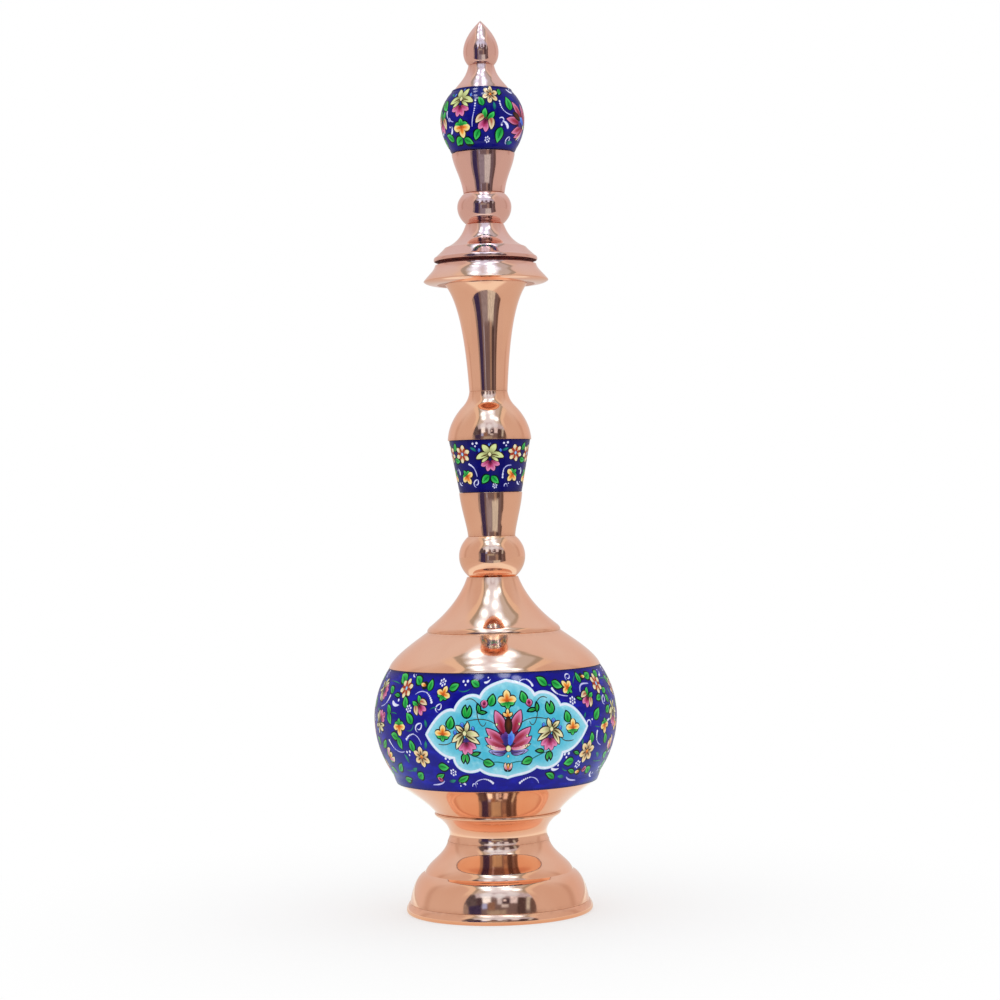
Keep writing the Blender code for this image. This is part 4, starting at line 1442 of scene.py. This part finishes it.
# The neck's pattern is painted three times round, the ball's twice
neckLayout = {
    "leaf": [
        (-2.2, 193.5, 132, 0.9), (2.5, 193.5, -132, 0.9), (16.6, 208.2, -20, 0.72), (17.0, 202.3, -100, 0.78),
    ],
    "sprig": [(-7.1, 206.9, 60, 0.8), (6.7, 207.0, -70, 0.8)],
    "rosette": [(-12.9, 205.0, 5, 0.86), (11.9, 205.2, 25, 0.82)],
    "pansy": [(-11.6, 194.3, -150, 0.84), (10.8, 195.0, 137, 0.84)],
    "threeDots": [(-6.2, 209.0, 0, 0.85), (6.8, 209.1, 0, 0.85)],
    "ringDrop": [(-7.2, 191.9, 0, 0.72)],
    "snowflake": [(2.2, 190.7, 0, 0.66)],
    "swirl": [(8.0, 190.9, 0, 0.62)],
    "comma": [(16.2, 191.6, -30, 0.8), (16.9, 197.4, 100, 0.8), (0.0, 209.0, 0, 0.36)],
    "star": [(0.0, 204.7, 0, 0.93)],
}
neckDotted = [
    [(-6.3, 194.8), (-6.4, 197.6), (-7.6, 199.4), (-9.8, 200.4)],
    [(10.4, 199.7), (6.6, 200.6), (6.0, 198.0), (6.0, 194.4)],
]
ballLayout = {
    "leaf": [
        (-13.2, 343.9, 115, 0.98), (-7.4, 343.9, -115, 0.98), (-0.6, 361.0, 30, 0.86),
        (13.3, 360.2, 10, 1.15), (-20.6, 360.6, -140, 1.05), (-2.6, 346.2, 150, 0.95),
        (8.8, 346.2, 170, 1.12), (-19.0, 346.0, 55, 0.95), (32.6, 345.0, -70, 0.95),
        (33.4, 361.4, 30, 1.0), (10.0, 365.4, 150, 0.7),
    ],
    "slimLeaf": [(-27.4, 366.0, 75, 0.8)],
    "sprig": [(5.6, 358.8, 0, 0.9), (16.0, 343.6, -85, 1.1), (-17.4, 364.8, 60, 0.8)],
    "pansy": [(-10.2, 349.0, 180, 1.04)],
    "star": [(-10.6, 362.6, 0, 0.98)],
    "daisy": [(4.4, 364.2, 0, 0.9)],
    "fuchsia": [(2.7, 355.0, 155, 1.06), (-23.0, 356.4, 170, 1.05)],
    "lotus": [(22.4, 352.6, 62, 0.82)],
    "ringDrop": [(14.2, 344.2, 0, 0.7), (27.6, 364.0, 0, 0.8)],
    "swirl": [(9.4, 352.6, -60, 0.8)],
    "comma": [
        (11.4, 351.0, 140, 1.15), (-16.2, 349.2, 70, 0.9), (19.0, 366.4, -15, 1.1), (-25.0, 349.0, 30, 0.8),
    ],
    "snowflake": [(2.4, 344.2, 0, 0.8), (-17.0, 353.8, 0, 0.5)],
}
ballDotted = [
    [(-14.4, 352.6), (-17.6, 353.2), (-19.0, 355.4), (-18.6, 357.6)],
    [(-4.8, 349.6), (-5.0, 354.0), (-3.0, 356.2), (-3.1, 361.4)],
    [(15.2, 355.2), (11.6, 354.6), (8.6, 357.4), (8.7, 361.0)],
    [(27.4, 342.4), (30.6, 345.0), (31.6, 349.0), (30.8, 352.8)],
]


def paintTurns(name, body, line, reach, repeats, layout, dotted):
    canvas = Canvas(Ground(line, reach))
    for repeat in range(repeats):
        canvas.start = 2 * math.pi * reach * repeat / repeats
        canvas.dotted(dotted, dots=6, big=0.5)
        canvas.scatter(layout)
    canvas.finish(name, body)


paintBody()
paintTurns("neck_paint", "vessel", neckBandLine(), paintPlan["neckReach"], 3, neckLayout, neckDotted)
paintTurns("lid_paint", "lid", lidBandLine(), paintPlan["ballReach"], 2, ballLayout, ballDotted)
print("enamel painted")

for nodeName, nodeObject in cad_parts.items():
    if nodeName.endswith("solder"):
        nodeObject.data.materials.clear()
        nodeObject.data.materials.append(solder)


# Stage: a pale floor under a white tent, open towards the camera. Places here are in metres
cameraPlan = {
    "place": (0.0041, -1.0796, 0.1843),
    "lean": math.atan(0.0224),
    "lens": 86.4,
    "sensor": 36.0,
}


def makeCamera():
    data = bpy.data.cameras.new("camera")
    data.lens = cameraPlan["lens"]
    data.sensor_width = cameraPlan["sensor"]
    camera = bpy.data.objects.new("camera", data)
    camera.location = cameraPlan["place"]
    camera.rotation_euler = (math.pi / 2, cameraPlan["lean"], 0.0)
    bpy.context.scene.collection.objects.link(camera)
    bpy.context.scene.camera = camera


# What copper sees of the floor is a row of colours by distance from the foot, in shares of reach. Nearest the
# foot the row is darker and warm: painted shadow of the object and painted copper-coloured light on the floor
floorPlan = {
    "size": 6.0,
    "colour": (0.97, 0.97, 0.97),
    "white": (0.07, 0.28),                            # distances where the shaded floor fades to white
    "glossShare": 0.9,
    "reach": 0.6,
    "squeeze": 1.5,
    "tentFront": (0.275, 0.285),
    "seen": [
        (0.07, (0.76, 0.58, 0.43)), (0.10, (0.80, 0.70, 0.58)), (0.17, (0.82, 0.80, 0.76)),
        (0.24, (0.87, 0.86, 0.83)), (0.33, (0.97, 1.09, 1.06)), (0.52, (0.97, 1.09, 1.06)),
        (0.62, (0.70, 0.64, 0.60)), (1.0, (0.66, 0.59, 0.54)),
    ],
}


def makeFloor():
    own = floorPlan
    half = own["size"] / 2
    mesh = bpy.data.meshes.new("floor")
    corners = [(-half, -half, 0.0), (half, -half, 0.0), (half, half, 0.0), (-half, half, 0.0)]
    mesh.from_pydata(corners, [], [(0, 1, 2, 3)])
    floor = bpy.data.objects.new("floor", mesh)
    bpy.context.scene.collection.objects.link(floor)
    material = bpy.data.materials.new("paleFloor")
    nodes = Nodes(material)
    across, deep, _ = nodes.parts(nodes.place())
    distance = (across * across + deep * deep) ** 0.5
    wide = across * own["squeeze"]
    share = (wide * wide + deep * deep) ** 0.5 / own["reach"]
    seen = nodes.make("ShaderNodeValToRGB", {"stops": own["seen"]}, {0: share})
    glossyRay = nodes.lightPath("Is Glossy Ray")
    matt = nodes.make("ShaderNodeBsdfDiffuse", {}, {"Color": own["colour"]})
    white = nodes.make("ShaderNodeEmission", {}, {"Color": (1.0, 1.0, 1.0)})
    # For glossy rays the floor glows with that row, including the painted shadow and painted copper light
    # near the foot
    glow = nodes.make("ShaderNodeEmission", {}, {"Color": seen})
    clear = nodes.make("ShaderNodeBsdfTransparent")
    far = nodes.lightPath("Is Camera Ray") * (0.5 + distance.rise(*own["white"]) * 0.5)
    faded = nodes.make("ShaderNodeMixShader", {}, {0: far, 1: matt, 2: white})
    faded = nodes.make("ShaderNodeMixShader", {}, {0: glossyRay * own["glossShare"], 1: faded, 2: glow})
    outside = glossyRay * (-deep).rise(*own["tentFront"])
    shown = nodes.make("ShaderNodeMixShader", {}, {0: outside, 1: faded, 2: clear})
    nodes.make("ShaderNodeOutputMaterial", {}, {"Surface": shown})
    mesh.materials.append(material)


# Directions are told in degrees: tilt is 0 at the front horizon, 90 overhead and 180 behind, side goes up
# to 90, turn runs round the axis and rise above the floor
tentWalls = {
    "front": (0.70, 0.67, 0.665),
    "rear": (0.77, 0.73, 0.74),
    "rearTurn": (112.0, 122.0),
    "crease": (0.62, 0.55, 0.53),
    "creaseTurn": (104.0, 113.0, 5.0),
    "sky": (0.79, 0.86, 0.95),
    "skyRise": (20.0, 50.0),
    "skyTurn": (75.0, 124.0),
}

# The opening narrows to a slit overhead. Shares are of its half width, from the middle line
opening = {
    "half": 47.0,
    "slit": 25.0,
    "narrows": (16.0, 70.0),
    "shift": 2.5,
    "shifts": (50.0, 80.0),
    "edge": (0.985, 1.015),
    "bottom": (-92.0, -88.0),
    "endTrim": (99.0, 102.0),
    "endEdge": (103.0, 105.0),
    "trimTilt": (47.0, 104.0, 8.0),
    "inner": (0.42, 0.50, 0.50),
    "innerShare": (0.84, 1.1, 0.05),
    "outer": (0.84, 0.88, 0.84),
    "outerShare": (0.9, 1.3, 0.08),
}

# Things in the room are boxes of (side from, to, tilt from, to, colour)
roomBeyond = {
    "low": (0.19, 0.19, 0.24),
    "top": (0.56, 0.74, 1.08),
    "topTilt": (27.0, 40.0),
    "soft": 1.6,
    "cast": (15.0, 6.0, 0.75),
    "castRange": (0.05, 1.9),
    "well": (0.83, 1.24, 1.80),
    "wellTilt": (43.0, 52.0),
    "wellWidth": (10.0, 17.0),
    "overhead": (0.76, 1.02, 1.42),
    "overheadTilt": (80.0, 88.0),
    "overheadWidth": (9.0, 14.0),
    "side": (0.60, 0.77, 0.90),
    "things": [
        (-48, -39, -95, 24, (0.36, 0.37, 0.40)), (-40, -23, -95, 21, (0.05, 0.05, 0.17)),
        (-42, -29, 20, 50, (0.11, 0.12, 0.17)), (-29, -21, 20, 34, (0.07, 0.06, 0.10)),
        (-21, -11, 22, 37, (1.05, 1.55, 2.05)), (-22, -16, 15, 22, (0.42, 0.70, 1.45)),
        (-15.5, -12, -17, 9, (0.45, 0.62, 0.96)), (-17, 4, -95, -18, (0.31, 0.37, 0.50)),
        (-16, 8, 4, 13, (0.42, 0.50, 0.50)), (-15, -6, 13, 24, (0.27, 0.22, 0.20)),
        (2, 11, 16.5, 20, (0.66, 0.90, 1.16)), (-3, 3, 20, 33, (0.72, 1.02, 1.44)),
        (3, 13, 21, 31, (0.06, 0.05, 0.09)), (4.5, 8, 25, 29, (0.8, 1.0, 1.3)),
        (13, 23, 22, 36, (0.80, 1.06, 1.44)), (12, 21, -20, 9, (0.37, 0.36, 0.35)),
        (4, 27, -95, -19, (0.64, 0.84, 0.92)), (22, 33, -18, 34, (0.09, 0.08, 0.10)),
        (33.5, 38.5, 14, 36, (0.56, 0.74, 0.82)), (38.5, 48, -95, 34, (0.15, 0.13, 0.14)),
    ],
}

# Lamps are (side, tilt, spread, share), and only full ones have a bright core.
# Reaches are the outer and inner edge of the glow and of the core, in spreads
lamps = {
    "places": [
        (-15.4, 40.7, 5.5, 0.6), (0.4, 38.0, 5.0, 0.6), (15.0, 43.0, 5.5, 0.5), (-13.0, 71.0, 5.0, 1.0),
        (-12.6, 61.0, 4.5, 1.0), (3.5, 75.0, 6.0, 1.0), (7.5, 62.0, 5.5, 1.0), (17.5, 59.0, 4.5, 0.9),
        (-11.5, 87.0, 4.5, 1.0), (5.5, 89.0, 4.5, 1.0), (-10.0, 99.0, 4.5, 1.0), (8.5, 97.5, 4.0, 0.9),
    ],
    "reaches": (1.9, 0.2, 1.1, 0.15),
    "coreFrom": 0.8,
    "glow": (1.02, 1.7, 2.5),
    "core": (3.2, 4.0, 4.9),
    "coreInGlaze": (19.0, 21.0, 24.0),
    "glazeDim": 0.45,
    "cloth": (0.966, 0.912, 0.868),
    "secondLook": (1.24, 1.55, 1.6),
    "horizon": (-3.0, 3.0),
}


def direction(side, tilt):
    side, tilt = math.radians(side), math.radians(tilt)
    return (math.sin(side), -math.cos(side) * math.cos(tilt), math.cos(side) * math.sin(tilt))


def wallsSeen(nodes, around, rise):
    own = tentWalls
    walls = nodes.mix(around.rise(*own["rearTurn"]), own["front"], own["rear"])
    walls = nodes.mix(around.within(*own["creaseTurn"]), walls, own["crease"])
    return nodes.mix(rise.rise(*own["skyRise"]) * around.rise(*own["skyTurn"]), walls, own["sky"])


def roomSeen(nodes, ray, aside, tilt):
    own = roomBeyond
    room = nodes.mix(tilt.rise(*own["topTilt"]), own["low"], own["top"])
    for sideFrom, sideTo, tiltFrom, tiltTo, colour in own["things"]:
        inside = aside.within(sideFrom, sideTo, own["soft"]) * tilt.within(tiltFrom, tiltTo, own["soft"])
        room = nodes.mix(inside, room, colour)
    dark, gain = own["castRange"]
    room = nodes.scaled(room, dark + nodes.noise(ray, *own["cast"]) * gain)
    side = aside.size()
    well = nodes.mix(side.rise(*own["wellWidth"]), own["well"], own["side"])
    room = nodes.mix(tilt.rise(*own["wellTilt"]), room, well)
    overhead = nodes.mix(side.rise(*own["overheadWidth"]), own["overhead"], own["side"])
    return nodes.mix(tilt.rise(*own["overheadTilt"]), room, overhead)


def throughOpening(nodes, walls, room, aside, tilt):
    own = opening
    width = own["half"] - tilt.rise(*own["narrows"]) * (own["half"] - own["slit"])
    share = (aside - tilt.rise(*own["shifts"]) * own["shift"]).size() / width
    trimmed = tilt.within(*own["trimTilt"])
    room = nodes.mix(share.within(*own["innerShare"]) * trimmed, room, own["inner"])
    room = nodes.mix(tilt.rise(*own["endTrim"]), room, own["inner"])
    walls = nodes.mix(share.within(*own["outerShare"]) * trimmed, walls, own["outer"])
    within = (1.0 - share.rise(*own["edge"])) * tilt.rise(*own["bottom"])
    return nodes.mix(within * (1.0 - tilt.rise(*own["endEdge"])), walls, room)


def lampsOver(nodes, shown, ray):
    # The glaze is the only mirror without haze: lamps are small and sharp in it, and the tent is faint
    own = lamps
    glow, core = 0.0, 0.0
    for side, tilt, spread, share in own["places"]:
        values = {0: ray, 1: direction(side, tilt)}
        facing = nodes.make("ShaderNodeVectorMath", {"operation": "DOT_PRODUCT"}, values, "Value")
        edges = [math.cos(math.radians(spread * reach)) for reach in own["reaches"]]
        glow = facing.rise(*edges[:2]) * share + glow
        if share > own["coreFrom"]:
            core = facing.rise(*edges[2:]) + core
    glazeRay = nodes.lightPath("Is Singular Ray")
    shown = nodes.scaled(shown, 1.0 - glazeRay * own["glazeDim"])
    shown = nodes.mix(glow.atMost(1.0), shown, own["glow"])
    shown = nodes.mix(core.atMost(1.0), shown, nodes.mix(glazeRay, own["core"], own["coreInGlaze"]))
    return nodes.tinted(shown, own["cloth"])


def makeWorld():
    # White for the camera and for diffuse light. Glossy rays see the tent, its dark opening and the lamps
    world = bpy.data.worlds.new("tent")
    nodes = Nodes(world)
    white = (1.0, 1.0, 1.0)
    degrees = math.degrees(1)
    ray = nodes.make("ShaderNodeTexCoord", out="Generated")
    across, deep, high = nodes.parts(ray)
    turn = across.maths("ARCTAN2", across, -deep) * degrees
    tilt = high.maths("ARCTAN2", high, -deep) * degrees
    aside = across.maths("ARCSINE", across) * degrees
    rise = high.maths("ARCSINE", high) * degrees
    walls = wallsSeen(nodes, turn.size(), rise)
    room = roomSeen(nodes, ray, aside, tilt)
    shown = lampsOver(nodes, throughOpening(nodes, walls, room, aside, tilt), ray)
    # What copper shows of other copper has gone pale in the haze of the polish
    bounces = nodes.lightPath("Glossy Depth")
    for already in (1.0, 2.0, 3.0):
        again = bounces.rise(already + 0.3, already + 0.7) * rise.rise(*lamps["horizon"])
        shown = nodes.tinted(shown, nodes.mix(again, white, lamps["secondLook"]))
    seen = nodes.mix(nodes.lightPath("Is Glossy Ray"), white, shown)
    background = nodes.make("ShaderNodeBackground", {}, {"Color": seen})
    nodes.make("ShaderNodeOutputWorld", {}, {"Surface": background})
    bpy.context.scene.world = world


makeCamera()
makeFloor()
makeWorld()
bpy.context.scene.view_settings.view_transform = "Standard"
print("stage set")
